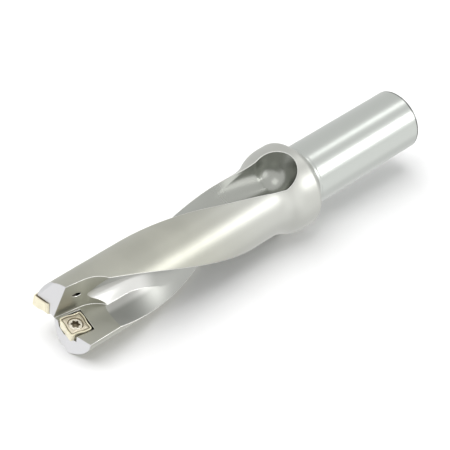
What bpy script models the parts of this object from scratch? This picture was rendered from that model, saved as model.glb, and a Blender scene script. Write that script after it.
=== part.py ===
"""Indexable insert drill: a one-piece body with two helical flutes, two square inserts and their screws.

Metres, +Z up. The drill stands on the end of its shank, with its tip up and its axis on +Z.
The central insert's cutting edge points along +X, and the peripheral one's roughly along -X.
"""

import math

import bmesh
import bpy
from mathutils import Matrix, Vector

# Shank, ground and flanged, with a clamping flat on its back
SHANK_DIAMETER = 0.0250
SHANK_LENGTH = 0.0560
SHANK_END_CHAMFER = 0.0010
CLAMPING_FLAT_DEPTH = 0.0010
CLAMPING_FLAT_LENGTH = 0.0320
CLAMPING_FLAT_START = 0.0120

# Collar, from the shank's neck to the fluted body
NECK_LENGTH = 0.0014
NECK_DEPTH = 0.0002
COLLAR_DIAMETER = 0.0352
COLLAR_BEVEL_LENGTH = 0.0046
COLLAR_EDGE_RADIUS = 0.0030
COLLAR_WIDTH = 0.0050
COLLAR_BLEND_LENGTH = 0.0145

# Fluted body. The flutes' middle line is on +X at the height FLUTE_PHASE_SETBACK under the tip
CUT_DIAMETER = 0.0290
BODY_RUNNING_CLEARANCE = 0.0004
BODY_LENGTH = 0.0969
FLUTE_LEAD = 0.2280
FLUTE_PHASE_SETBACK = 0.0450
FLUTE_RUNOUT_OFFSET = 0.0080

# The flutes' section: even at the collar's run-out, then wider over most of their length
RUNOUT_HALF_OPENING = math.radians(36)
FLUTE_LEADING_ANGLE = math.radians(44.5)
FLUTE_HEEL_ANGLE = math.radians(38.5)
FLUTE_ROOT_RADIUS = 0.0083
FLUTE_ROOT_OFFSET = 0.0124
FLUTE_ROOT_TURN = math.radians(-3)
WIDENING_LENGTH = 0.0300

# The central insert's flute grows deeper towards its pocket, with a low ridge beside its leading wall
DEEP_LEADING_ANGLE = math.radians(46.9)
DEEP_ROOT_RADIUS = 0.0052
DEEP_ROOT_OFFSET = 0.00635
DEEP_ROOT_TURN = math.radians(1.8)
RIDGE_ADVANCE = math.radians(12.5)
RIDGE_HEIGHT = 0.00025
DEEP_START_SETBACK = 0.0530
DEEP_FULL_SETBACK = 0.0300

# The peripheral insert's flute closes towards its pocket's corner
CLOSED_HEEL_ANGLE = math.radians(18.5)
CLOSED_ROOT_RADIUS = 0.0016
CLOSED_ROOT_OFFSET = 0.0065
CLOSED_ROOT_TURN = math.radians(-37)
CLOSED_START_SETBACK = 0.0214
FLUTE_FRONT_SETBACK = 0.0105

# Straight chip pockets in front of the flutes
POCKET_FLOOR_DROP = 0.0010
CENTRAL_WALL_OFFSET = 0.0035
CENTRAL_WALL_TILT = math.radians(8.5)
CENTRAL_WALL_LENGTH = 0.0120
CENTRAL_POCKET_END_RADIUS = 0.0130
PERIPHERAL_WALL_OFFSET = 0.0041
WEB_BEVEL_WIDTH = 0.0025
WEB_BEVEL_TURN = math.radians(45)

# Ground front faces: the upper lobe's, its corner's, and the lower lobe's two, which meet in a ridge
UPPER_FACE_DROP = 0.0011
UPPER_FACE_RELIEF = math.radians(15)
CORNER_FALL = math.radians(44)
CORNER_FALL_TURN = math.radians(139)
CORNER_FALL_REACH = 0.0128
CORNER_FALL_DROP = 0.0033
OUTER_FACE_FALL = math.radians(15)
OUTER_FACE_TURN = math.radians(-14)
INNER_FACE_FALL = math.radians(16.6)
INNER_FACE_TURN = math.radians(-143)
WEB_FACE_FALL = math.radians(29.7)
WEB_FACE_REACH = 0.0026
WEB_FACE_DROP = 0.00235

# Square inserts
INSERT_SIDE = 0.0089
INSERT_THICKNESS = 0.0040
INSERT_CLEARANCE_ANGLE = math.radians(9)
INSERT_CORNER_RADIUS = 0.0009
INSERT_EDGE_WAVE = 0.00022
INSERT_RIM_WIDTH = 0.0008
INSERT_GROOVE_DEPTH = 0.0003
INSERT_GROOVE_WIDTH = 0.0004
INSERT_SEAT_GAP = 0.0003
CENTRAL_INSERT_OVERLAP = 0.00135
CENTRAL_INSERT_RISE = math.radians(9.3)
CENTRAL_INSERT_LEAD = -0.0016
CENTRAL_INSERT_TILT = math.radians(4)
PERIPHERAL_INSERT_ANGLE = math.radians(191)
PERIPHERAL_INSERT_RISE = math.radians(4)
PERIPHERAL_INSERT_LEAD = -0.0005
PERIPHERAL_INSERT_TILT = 0.0

# Insert screws
SCREW_HEAD_DIAMETER = 0.0052
SCREW_HEAD_ANGLE = math.radians(60)
SCREW_SHANK_DIAMETER = 0.0034
SCREW_HEAD_RIM = 0.0007
SCREW_LENGTH = 0.0052
SCREW_POINT_CHAMFER = 0.0004
HOLE_EXIT_DIAMETER = 0.0026
HOLE_EXIT_DEPTH = 0.0115
HOLE_EXIT_SETBACK = 0.0028
SCREW_SINK = 0.0004
SCREW_GAP = 0.0003
RECESS_RADIUS = 0.00150
RECESS_LOBE = 0.00028
RECESS_DEPTH = 0.0014

# Coolant passages: an inlet in the shank, then a twisted channel in each land and a straight outlet
COOLANT_INLET_DIAMETER = 0.0080
COOLANT_INLET_DEPTH = 0.0560
COOLANT_CHANNEL_DIAMETER = 0.0018
COOLANT_CHANNEL_OFFSET = 0.0075
COOLANT_CHANNEL_LAG = math.radians(86)
COOLANT_BRANCH_RISE = 0.0160
COOLANT_CHANNEL_END_SETBACK = 0.0150
COOLANT_OUTLET_REACH = 0.0070
COOLANT_OUTLET_SETBACK = 0.0098

# Fineness of the round surfaces
TURNED_STEPS = 72
ARC_STEP = math.radians(12)
HELIX_STEP = math.radians(5)
HOLE_STEPS = 20
ROOT_STEPS = 10
WALL_STEPS = 3
WALL_FOOT_SHARE = 0.03
EDGE_STEP = math.radians(9)
RIM_MARGIN = 1.04
CHANNEL_STEPS = 12
RING_STEPS = 48
BEND_STEP = math.radians(6)

SHANK_RADIUS = SHANK_DIAMETER / 2
COLLAR_RADIUS = COLLAR_DIAMETER / 2
BODY_RADIUS = CUT_DIAMETER / 2 - BODY_RUNNING_CLEARANCE
BEVEL_START = SHANK_LENGTH + NECK_LENGTH
COLLAR_START = BEVEL_START + COLLAR_BEVEL_LENGTH
COLLAR_END = COLLAR_START + COLLAR_WIDTH
BODY_START = COLLAR_END + COLLAR_BLEND_LENGTH
BODY_TOP = BODY_START + BODY_LENGTH
FLUTE_LOW = COLLAR_END + FLUTE_RUNOUT_OFFSET
FLUTE_HIGH = BODY_TOP - FLUTE_FRONT_SETBACK
FLUTE_ZERO = BODY_TOP - FLUTE_PHASE_SETBACK
REACH = COLLAR_RADIUS * 1.25
WIDE = 2 * REACH
CHANNEL_START = COOLANT_INLET_DEPTH + COOLANT_BRANCH_RISE


def material(name, colour, roughness, metallic):
    """A Principled material with the part's own colour, roughness and metallic value."""
    made = bpy.data.materials.new(name)
    made.use_nodes = True
    shader = made.node_tree.nodes["Principled BSDF"]
    shader.inputs["Base Color"].default_value = (*colour, 1.0)
    shader.inputs["Roughness"].default_value = roughness
    shader.inputs["Metallic"].default_value = metallic
    return made


def link(name, bm, place=None):
    """Makes an object of the bmesh, moved by the matrix place, and closes the bmesh."""
    bmesh.ops.remove_doubles(bm, verts=bm.verts, dist=1e-7)
    bmesh.ops.recalc_face_normals(bm, faces=bm.faces)
    mesh = bpy.data.meshes.new(name)
    bm.to_mesh(mesh)
    bm.free()
    if place is not None:
        mesh.transform(place)
    made = bpy.data.objects.new(name, mesh)
    bpy.context.scene.collection.objects.link(made)
    return made


def finish(made, finish_material, sharp_degrees=32):
    """Shades a finished piece smooth between its sharp edges and gives it its material."""
    made.data.materials.clear()
    made.data.materials.append(finish_material)
    made.data.shade_smooth()
    made.data.set_sharp_from_angle(angle=math.radians(sharp_degrees))
    return made


def chain(bm, points, closed=False):
    """Vertices at the points, joined by edges. Returns the edges."""
    verts = [bm.verts.new(p) for p in points]
    pairs = list(zip(verts, verts[1:]))
    if closed:
        pairs.append((verts[-1], verts[0]))
    return [bm.edges.new(p) for p in pairs]


def arc(centre, radius, start, end, step=ARC_STEP):
    """Points of an arc in the plane, as pairs, from the angle start to the angle end."""
    count = max(2, math.ceil(abs(end - start) / step))
    angles = [start + (end - start) * i / count for i in range(count + 1)]
    return [(centre[0] + radius * math.cos(a), centre[1] + radius * math.sin(a)) for a in angles]


def screw_place(z):
    """The matrix that carries a section from the flute's zero plane up or down its helix to height z."""
    turn = 2 * math.pi * (z - FLUTE_ZERO) / FLUTE_LEAD
    return Matrix.Translation((0, 0, z)) @ Matrix.Rotation(turn, 4, "Z")


def collar_profile():
    """(radius, height) points of the turned outline, from the shank's end up to the tip."""
    bevel_rise = COLLAR_RADIUS - SHANK_RADIUS
    slope = math.atan2(bevel_rise, COLLAR_BEVEL_LENGTH)
    setback = COLLAR_EDGE_RADIUS * math.tan(slope / 2)
    edge_centre = (COLLAR_RADIUS - COLLAR_EDGE_RADIUS, COLLAR_START + setback)
    edge = arc(edge_centre, COLLAR_EDGE_RADIUS, -slope, 0, EDGE_STEP)
    drop = COLLAR_RADIUS - BODY_RADIUS
    half = COLLAR_BLEND_LENGTH / 2
    blend_radius = (half**2 + (drop / 2) ** 2) / drop
    sweep = math.asin(half / blend_radius)
    crown = arc((COLLAR_RADIUS - blend_radius, COLLAR_END), blend_radius, 0, sweep, BEND_STEP)
    hollow_centre = (BODY_RADIUS + blend_radius, BODY_START)
    hollow = arc(hollow_centre, blend_radius, math.pi + sweep, math.pi, BEND_STEP)
    return [
        (0, 0),
        (SHANK_RADIUS - SHANK_END_CHAMFER, 0),
        (SHANK_RADIUS, SHANK_END_CHAMFER),
        (SHANK_RADIUS, SHANK_LENGTH),
        (SHANK_RADIUS - NECK_DEPTH, SHANK_LENGTH + NECK_DEPTH),
        (SHANK_RADIUS - NECK_DEPTH, BEVEL_START - NECK_DEPTH),
        (SHANK_RADIUS, BEVEL_START),
        *edge,
        *crown,
        *hollow[1:],
        (BODY_RADIUS, BODY_TOP),
        (0, BODY_TOP),
    ]


def turned_blank():
    """The turned body before its flutes: shank, neck, collar and cylindrical drill body."""
    bm = bmesh.new()
    edges = chain(bm, [(r, 0, z) for r, z in collar_profile()])
    bmesh.ops.spin(
        bm, geom=edges, cent=(0, 0, 0), axis=(0, 0, 1), angle=2 * math.pi, steps=TURNED_STEPS, use_merge=True
    )
    return link("drill_body", bm)


def flute_section(leading, heel, root, crest=0.0, step=0.0):
    """(radial, lateral) points of a flute's section, from its leading wall round its root to its heel wall.

    leading and heel are the angles of its two rims on the body, root is the root's (offset, turn, radius),
    crest is how far short of the leading wall the root's arc stops, and step is that wall's drop there.
    """
    offset, turn, radius = root
    centre = Vector((offset * math.cos(turn), offset * math.sin(turn)))
    rims = [Vector((math.cos(angle), math.sin(angle))) * BODY_RADIUS for angle in (-leading, heel)]
    ways = [rim - centre for rim in rims]
    spans = [math.acos(radius / way.length) for way in ways]
    bearings = [math.atan2(way.y, way.x) for way in ways]
    first = bearings[0] - spans[0] + 2 * math.pi - crest
    last = bearings[1] + spans[1]
    angles = [first + (last - first) * i / ROOT_STEPS for i in range(ROOT_STEPS + 1)]
    root_points = [centre + Vector((math.cos(a), math.sin(a))) * radius for a in angles]
    feet = [root_points[0] + Vector((math.cos(first), math.sin(first))) * step, root_points[-1]]
    wall_run = RIM_MARGIN - WALL_FOOT_SHARE
    shares = [WALL_FOOT_SHARE + wall_run * i / WALL_STEPS for i in range(WALL_STEPS + 1)]
    leading_wall, heel_wall = ([foot.lerp(rim, share) for share in shares] for foot, rim in zip(feet, rims))
    outer = [rim + (rim - foot).normalized() * REACH / 2 for foot, rim in zip(feet, rims)]
    middle = outer[0].lerp(outer[1], 0.5)
    return [outer[0], *reversed(leading_wall), *root_points, *heel_wall, outer[1], middle]


def blended(section, other, share):
    """The section that lies the given share of the way from one section to another."""
    return [a.lerp(b, share) for a, b in zip(section, other)]


def eased(share):
    """The share held between 0 and 1, with a soft start and end."""
    held = min(max(share, 0.0), 1.0)
    return held * held * (3 - 2 * held)


def helix_heights(low, high):
    """Heights along the helix that are at most one fineness step apart."""
    count = math.ceil(2 * math.pi * (high - low) / FLUTE_LEAD / HELIX_STEP)
    return [low + (high - low) * i / count for i in range(count + 1)]


def skinned(bm, rings):
    """Joins closed rings of points by faces, and leaves both ends open. Returns the rings' vertices."""
    loops = [[bm.verts.new(point) for point in ring] for ring in rings]
    for lower, upper in zip(loops, loops[1:]):
        for i in range(len(lower)):
            bm.faces.new((lower[i - 1], lower[i], upper[i], upper[i - 1]))
    return loops


def flute_cutter(name, section_at, turn):
    """A cutter that follows the helix from its round end at the collar up to the front.

    section_at gives the section at a height, and turn is the flute's own angle round the axis.
    """
    bm = bmesh.new()
    turned = Matrix.Rotation(turn, 4, "Z")
    rings = [
        [screw_place(z) @ turned @ Vector((*point, 0)) for point in section_at(z)]
        for z in helix_heights(FLUTE_LOW, FLUTE_HIGH)
    ]
    loops = skinned(bm, rings)
    bm.faces.new(loops[-1])
    place = screw_place(FLUTE_LOW) @ turned
    section = section_at(FLUTE_LOW)
    ring = chain(bm, [place @ Vector((*point, 0)) for point in section[2 + WALL_STEPS + ROOT_STEPS // 2:]])
    bmesh.ops.spin(
        bm,
        geom=ring,
        cent=place.translation,
        axis=place.to_3x3() @ Vector((1, 0, 0)),
        angle=-math.pi,
        steps=math.ceil(math.pi / ARC_STEP),
    )
    return link(name, bm)


def channel_cutter(name, turn, low, high):
    """A round channel that follows the helix in the middle of a land."""
    bm = bmesh.new()
    step = 2 * math.pi / CHANNEL_STEPS
    circle = arc((COOLANT_CHANNEL_OFFSET, 0), COOLANT_CHANNEL_DIAMETER / 2, step, 2 * math.pi, step)
    section = [Vector((*point, 0)) for point in circle]
    turned = Matrix.Rotation(turn, 4, "Z")
    rings = [[screw_place(z) @ turned @ point for point in section] for z in helix_heights(low, high)]
    loops = skinned(bm, rings)
    for end in (loops[0], loops[-1]):
        bm.faces.new(end)
    return link(name, bm)


def block(name, low, high, place=None):
    """A box between two corners in its own frame, set by the matrix place."""
    bm = bmesh.new()
    size = Vector(high) - Vector(low)
    middle = (Vector(high) + Vector(low)) / 2
    bmesh.ops.create_cube(bm, size=1, matrix=Matrix.Translation(middle) @ Matrix.Diagonal((*size, 1)))
    return link(name, bm, place)


def extruded(name, outline, run, place=None):
    """A closed solid made by drawing the plane outline, a ring of points, along the vector run."""
    bm = bmesh.new()
    chain(bm, outline, closed=True)
    base = bmesh.ops.contextual_create(bm, geom=list(bm.edges))["faces"]
    top = bmesh.ops.extrude_face_region(bm, geom=base)["geom"]
    moved = [v for v in top if isinstance(v, bmesh.types.BMVert)]
    bmesh.ops.translate(bm, verts=moved, vec=run)
    return link(name, bm, place)


def prism(name, outline, low, high, place=None):
    """A prism over the plane outline, from height low to high in its own frame, set by the matrix place."""
    return extruded(name, [(x, y, low) for x, y in outline], Vector((0, 0, high - low)), place)


def hole(name, start, end, diameter):
    """A round cutter between two points."""
    bm = bmesh.new()
    run = Vector(end) - Vector(start)
    bmesh.ops.create_cone(
        bm, cap_ends=True, segments=HOLE_STEPS, radius1=diameter / 2, radius2=diameter / 2, depth=run.length
    )
    middle = (Vector(start) + Vector(end)) / 2
    turn = run.to_track_quat("Z", "Y").to_matrix().to_4x4()
    return link(name, bm, Matrix.Translation(middle) @ turn)


def cut(body, cutter):
    """Takes the cutter's shape out of the body. The cutter stays as a wire guide that isn't rendered."""
    step = body.modifiers.new(cutter.name, "BOOLEAN")
    step.operation = "DIFFERENCE"
    step.solver = "EXACT"
    step.object = cutter
    cutter.hide_render = True
    cutter.display_type = "WIRE"


def insert_outline(angle, side, corner, wave):
    """Distance from the insert's middle to its wavy square outline, in the direction of angle."""
    quarter = math.pi / 2
    local = (angle + quarter / 2) % quarter - quarter / 2
    half = side / 2
    straight = half / math.cos(local)
    corner_middle = half - corner
    reach = corner_middle * math.sqrt(2) * math.cos(quarter / 2 - abs(local))
    gap = corner_middle * math.sqrt(2) * math.sin(quarter / 2 - abs(local))
    if gap < corner:
        straight = min(straight, reach + math.sqrt(corner**2 - gap**2))
    return straight + wave * math.sin(4 * local)


def ring_points(radius_of, height):
    """A ring of points round the local Z axis at the given height."""
    angles = [2 * math.pi * i / RING_STEPS for i in range(RING_STEPS)]
    return [(radius_of(a) * math.cos(a), radius_of(a) * math.sin(a), height) for a in angles]


def ringed_solid(name, rings, place, closed_round=False):
    """A solid skinned over rings of points, closed from the last to the first or by a face at each end."""
    bm = bmesh.new()
    loops = skinned(bm, [*rings, rings[0]] if closed_round else rings)
    if not closed_round:
        for end in (loops[0], loops[-1]):
            bm.faces.new(end)
    return link(name, bm, place)


def head_seat_rings():
    """(radius, height) pairs of the screw's head and shank under it, from the head's top edge downwards."""
    head = SCREW_HEAD_DIAMETER / 2
    shank = SCREW_SHANK_DIAMETER / 2
    cone_height = (head - shank) / math.tan(SCREW_HEAD_ANGLE / 2)
    cone_start = -SCREW_SINK - SCREW_HEAD_RIM
    return [(head, -SCREW_SINK), (head, cone_start), (shank, cone_start - cone_height)]


def indexable_insert(name, place, finish_material):
    """A square insert with wavy edges, a chip groove and a screw seat. Its rake face is at local Z 0."""
    edge_drop = INSERT_THICKNESS * math.tan(INSERT_CLEARANCE_ANGLE)

    def outline(inset, wave=INSERT_EDGE_WAVE):
        corner = max(INSERT_CORNER_RADIUS - inset / 2, INSERT_CORNER_RADIUS / 3)
        return lambda a: insert_outline(a, INSERT_SIDE - 2 * inset, corner, wave)

    def circle(radius):
        return lambda a: radius

    seat = [(radius + SCREW_GAP, height) for radius, height in head_seat_rings()]
    groove = INSERT_RIM_WIDTH + INSERT_GROOVE_WIDTH
    rings = [
        ring_points(outline(edge_drop, 0), -INSERT_THICKNESS),
        ring_points(outline(0), 0),
        ring_points(outline(INSERT_RIM_WIDTH), -INSERT_GROOVE_DEPTH / 2),
        ring_points(outline(groove), -INSERT_GROOVE_DEPTH),
        ring_points(outline(groove + INSERT_GROOVE_WIDTH / 2, 0), 0),
        ring_points(circle(seat[0][0]), 0),
        *[ring_points(circle(radius), height) for radius, height in seat[1:]],
        ring_points(circle(seat[-1][0]), -INSERT_THICKNESS),
    ]
    return finish(ringed_solid(name, rings, place, closed_round=True), finish_material)


def insert_screw(name, place, finish_material):
    """The insert's screw: a countersunk head with a six-lobed recess, and its plain shank."""
    head = head_seat_rings()
    shank = SCREW_SHANK_DIAMETER / 2
    point_height = -SCREW_SINK - SCREW_LENGTH

    def circle(radius):
        return lambda a: radius

    def lobed(angle):
        return RECESS_RADIUS + RECESS_LOBE * math.cos(6 * angle)

    rings = [
        ring_points(lobed, -SCREW_SINK - RECESS_DEPTH),
        ring_points(lobed, -SCREW_SINK),
        *[ring_points(circle(radius), height) for radius, height in head],
        ring_points(circle(shank), point_height + SCREW_POINT_CHAMFER),
        ring_points(circle(shank - SCREW_POINT_CHAMFER), point_height),
    ]
    return finish(ringed_solid(name, rings, place), finish_material)


def insert_place(radial_angle, inner, rise, lead, tilt):
    """The matrix of an insert's own frame: X along its front edge, Y back from it, Z out of its rake face.

    inner is the distance of its inner front corner from the drill's axis, lead that corner's height over the
    body's top, and tilt how far the insert is turned about its middle so that the front edge stands proud.
    """
    out = Vector((math.cos(radial_angle), math.sin(radial_angle), 0))
    face = Vector((-math.sin(radial_angle), math.cos(radial_angle), 0))
    up = Vector((0, 0, 1))
    edge = out * math.cos(rise) + up * math.sin(rise)
    back = face.cross(edge)
    corner = out * inner + up * (BODY_TOP + lead)
    middle = corner + (edge + back) * INSERT_SIDE / 2
    axes = Matrix((edge, back, face)).transposed().to_4x4()
    return Matrix.Translation(middle) @ axes @ Matrix.Rotation(-tilt, 4, "X")


def seat_cutter(name, place):
    """The insert's seat: its square with a gap all round, open at the front and over its rake face."""
    half = INSERT_SIDE / 2 + INSERT_SEAT_GAP
    low = (-half, -half - INSERT_SIDE / 2, -INSERT_THICKNESS - INSERT_SEAT_GAP)
    high = (half, half, INSERT_SIDE / 2)
    return block(name, low, high, place)


def thread_cutter(name, place):
    """The hole under the insert that holds the screw."""
    top = place @ Vector((0, 0, 0))
    bottom = place @ Vector((0, 0, -SCREW_SINK - SCREW_LENGTH - SCREW_GAP))
    return hole(name, top, bottom, SCREW_SHANK_DIAMETER + 2 * SCREW_GAP)


def exit_cutter(name, place):
    """The narrower hole that carries on from the screw's hole to the outside of the land."""
    start = place @ Vector((0, 0, -SCREW_LENGTH))
    end = place @ Vector((0, HOLE_EXIT_SETBACK, -HOLE_EXIT_DEPTH))
    return hole(name, start, end, HOLE_EXIT_DIAMETER)


def plane_place(direction, tilt, point):
    """A frame at the point whose Z axis leans by tilt from the drill's axis towards the angle direction."""
    out = Vector((math.cos(direction), math.sin(direction), 0))
    up = out * math.sin(tilt) + Vector((0, 0, 1)) * math.cos(tilt)
    across = up.cross(out).normalized()
    return Matrix.Translation(point) @ Matrix((across.cross(up), across, up)).transposed().to_4x4()


def cut_flutes(body):
    """The two helical flutes, from the collar to the chip pockets."""
    root = (FLUTE_ROOT_OFFSET, 0, FLUTE_ROOT_RADIUS)
    runout = flute_section(RUNOUT_HALF_OPENING, RUNOUT_HALF_OPENING, root)
    usual_root = (FLUTE_ROOT_OFFSET, FLUTE_ROOT_TURN, FLUTE_ROOT_RADIUS)
    usual = flute_section(FLUTE_LEADING_ANGLE, FLUTE_HEEL_ANGLE, usual_root)
    deep_root = (DEEP_ROOT_OFFSET, DEEP_ROOT_TURN, DEEP_ROOT_RADIUS)
    deep = flute_section(DEEP_LEADING_ANGLE, FLUTE_HEEL_ANGLE, deep_root, RIDGE_ADVANCE, RIDGE_HEIGHT)
    closed_root = (CLOSED_ROOT_OFFSET, CLOSED_ROOT_TURN, CLOSED_ROOT_RADIUS)
    closed = flute_section(DEEP_LEADING_ANGLE, CLOSED_HEEL_ANGLE, closed_root)

    def central(z):
        start = BODY_TOP - DEEP_START_SETBACK
        widened = blended(runout, usual, eased((z - FLUTE_LOW) / WIDENING_LENGTH))
        return blended(widened, deep, eased((z - start) / (DEEP_START_SETBACK - DEEP_FULL_SETBACK)))

    def peripheral(z):
        start = BODY_TOP - CLOSED_START_SETBACK
        widened = blended(runout, usual, eased((z - FLUTE_LOW) / WIDENING_LENGTH))
        return blended(widened, closed, eased((z - start) / (FLUTE_HIGH - start)))

    cut(body, flute_cutter("cut_central_flute", central, 0.0))
    cut(body, flute_cutter("cut_peripheral_flute", peripheral, math.pi))


def central_wall_offset(setback):
    """How far the central pocket's wall is past the axis, at a setback under the tip."""
    return CENTRAL_WALL_OFFSET - setback * math.tan(CENTRAL_WALL_TILT)


def cut_chip_pockets(body):
    """The straight pockets over the rake faces, from the tip down into the helical flutes."""
    above = BODY_TOP + REACH
    run_end = -central_wall_offset(CENTRAL_WALL_LENGTH)
    bend_middle = (
        run_end + CENTRAL_POCKET_END_RADIUS * math.cos(CENTRAL_WALL_TILT),
        BODY_TOP - CENTRAL_WALL_LENGTH + CENTRAL_POCKET_END_RADIUS * math.sin(CENTRAL_WALL_TILT),
    )
    bend = arc(bend_middle, CENTRAL_POCKET_END_RADIUS, math.pi + CENTRAL_WALL_TILT, 1.5 * math.pi, BEND_STEP)
    central = [(-central_wall_offset(-REACH), above), *bend, (WIDE, bend[-1][1]), (WIDE, above)]
    upright = Matrix.Rotation(math.pi / 2, 4, "X")
    cut(body, prism("cut_central_pocket", central, -WIDE, POCKET_FLOOR_DROP, upright))

    turn = PERIPHERAL_INSERT_ANGLE - math.pi
    out = Vector((-math.cos(turn), -math.sin(turn)))
    face = Vector((math.sin(turn), -math.cos(turn)))
    start = -face * POCKET_FLOOR_DROP
    wall = -PERIPHERAL_WALL_OFFSET
    bevel_point = start + out * ((wall - WEB_BEVEL_WIDTH - start.x) / out.x)
    peripheral = [
        bevel_point,
        (wall, bevel_point.y - WEB_BEVEL_WIDTH * math.tan(WEB_BEVEL_TURN)),
        (wall, -WIDE),
        (-WIDE, -WIDE),
        start + out * WIDE,
    ]
    floor = BODY_TOP - CLOSED_START_SETBACK
    cut(body, prism("cut_peripheral_pocket", peripheral, floor, above))


def lean(direction, tilt):
    """The unit vector that leans by tilt from the drill's axis towards the angle direction."""
    side = math.sin(tilt)
    return Vector((side * math.cos(direction), side * math.sin(direction), math.cos(tilt)))


def wedge_over(name, point, first, second):
    """A wedge cutter over two planes through the point, each given by its upward normal."""
    ridge = first.cross(second).normalized()
    along = [ridge.cross(normal) for normal in (first, second)]
    runs = [run if run.dot(other) > 0 else -run for run, other in zip(along, (second, first))]
    ways = [Vector(), runs[0], runs[0] + first, runs[1] + second, runs[1]]
    corners = [point + way * WIDE for way in ways]
    return extruded(name, [corner - ridge * WIDE for corner in corners], ridge * 2 * WIDE)


def cut_front_faces(body):
    """The ground front faces of both lobes and of the web between them."""
    top = Vector((0, 0, BODY_TOP))
    upper = plane_place(math.pi / 2, UPPER_FACE_RELIEF, top - Vector((0, 0, UPPER_FACE_DROP)))
    cut(body, block("cut_upper_face", (-POCKET_FLOOR_DROP, -WIDE, 0), (WIDE, WIDE, WIDE), upper))
    corner_out = Vector((math.cos(CORNER_FALL_TURN), math.sin(CORNER_FALL_TURN), 0))
    corner_point = top + corner_out * CORNER_FALL_REACH - Vector((0, 0, CORNER_FALL_DROP))
    corner = plane_place(CORNER_FALL_TURN, CORNER_FALL, corner_point)
    cut(body, block("cut_upper_corner", (-REACH / 2, -WIDE, 0), (WIDE, WIDE, WIDE), corner))
    outer = plane_place(OUTER_FACE_TURN, OUTER_FACE_FALL, top)
    cut(body, block("cut_outer_face", (-WIDE, -WIDE, 0), (WIDE, WIDE, WIDE), outer))
    meeting = top + Vector((-PERIPHERAL_WALL_OFFSET, -WEB_FACE_REACH, -WEB_FACE_DROP))
    inner_face = lean(INNER_FACE_TURN, INNER_FACE_FALL)
    web_face = lean(-math.pi / 2, WEB_FACE_FALL)
    cut(body, wedge_over("cut_inner_faces", meeting, inner_face, web_face))


def cut_coolant(body):
    """The coolant inlet, and from it a branch, a twisted channel and a straight outlet to each pocket."""
    below = Vector((0, 0, -SHANK_END_CHAMFER))
    cut(body, hole("cut_coolant_inlet", below, (0, 0, COOLANT_INLET_DEPTH), COOLANT_INLET_DIAMETER))
    fork = Vector((0, 0, COOLANT_INLET_DEPTH - COOLANT_CHANNEL_DIAMETER))
    end = BODY_TOP - COOLANT_CHANNEL_END_SETBACK
    exit_height = BODY_TOP - COOLANT_OUTLET_SETBACK
    walls = {
        "central": (0.0, -central_wall_offset(COOLANT_OUTLET_SETBACK), COOLANT_OUTLET_REACH),
        "peripheral": (math.pi, -PERIPHERAL_WALL_OFFSET, -COOLANT_OUTLET_REACH),
    }
    for side, (half_turn, exit_x, exit_y) in walls.items():
        turn = half_turn + COOLANT_CHANNEL_LAG
        land = Matrix.Rotation(turn, 4, "Z") @ Vector((COOLANT_CHANNEL_OFFSET, 0, 0))
        cut(body, channel_cutter(f"cut_{side}_channel", turn, CHANNEL_START, end))
        joint = screw_place(CHANNEL_START + COOLANT_CHANNEL_DIAMETER) @ land
        cut(body, hole(f"cut_{side}_branch", fork, joint, COOLANT_CHANNEL_DIAMETER))
        elbow = screw_place(end - COOLANT_CHANNEL_DIAMETER) @ land
        way_out = Vector((exit_x, exit_y, exit_height))
        over = (way_out - elbow).normalized() * COOLANT_CHANNEL_DIAMETER
        cut(body, hole(f"cut_{side}_outlet", elbow, way_out + over, COOLANT_CHANNEL_DIAMETER))


def cut_clamping_flat(body):
    """The clamping flat on the back of the shank."""
    low = (-SHANK_RADIUS, -SHANK_DIAMETER, CLAMPING_FLAT_START)
    high = (SHANK_RADIUS, CLAMPING_FLAT_DEPTH - SHANK_RADIUS, CLAMPING_FLAT_START + CLAMPING_FLAT_LENGTH)
    cut(body, block("cut_clamping_flat", low, high))


def build():
    """Models the whole drill."""
    for old in list(bpy.data.objects):
        bpy.data.objects.remove(old)
    steel = material("tool_steel", (0.55, 0.56, 0.53), 0.28, 1.0)
    coating = material("insert_coating", (0.80, 0.70, 0.42), 0.35, 0.6)
    screw_steel = material("screw_steel", (0.72, 0.66, 0.52), 0.30, 0.9)

    central = insert_place(
        0.0, -CENTRAL_INSERT_OVERLAP, CENTRAL_INSERT_RISE, CENTRAL_INSERT_LEAD, CENTRAL_INSERT_TILT
    )
    inner = CUT_DIAMETER / 2 - INSERT_SIDE * math.cos(PERIPHERAL_INSERT_RISE)
    peripheral = insert_place(
        PERIPHERAL_INSERT_ANGLE, inner, PERIPHERAL_INSERT_RISE, PERIPHERAL_INSERT_LEAD, PERIPHERAL_INSERT_TILT
    )

    body = turned_blank()
    cut_flutes(body)
    cut_chip_pockets(body)
    cut_front_faces(body)
    cut_coolant(body)
    cut_clamping_flat(body)
    cut(body, exit_cutter("cut_peripheral_thread_exit", peripheral))
    for side, place in (("central", central), ("peripheral", peripheral)):
        cut(body, seat_cutter(f"cut_{side}_seat", place))
        cut(body, thread_cutter(f"cut_{side}_thread", place))
        indexable_insert(f"{side}_insert", place, coating)
        insert_screw(f"{side}_insert_screw", place, screw_steel)
    finish(body, steel)


build()
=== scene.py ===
"""Looks of an indexable drill: a satin steel body with two helical flutes, two coated inserts, two screws.

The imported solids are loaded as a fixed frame. Each of them is replaced by a finer piece of the same sizes,
with broken edges, grinding marks or a coating, and the studio round them is built at the end.
"""

import logging
import math
from dataclasses import dataclass, field
from enum import Enum
from typing import Iterable, Sequence

import bmesh
import bpy
from mathutils import Matrix, Quaternion, Vector


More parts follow.
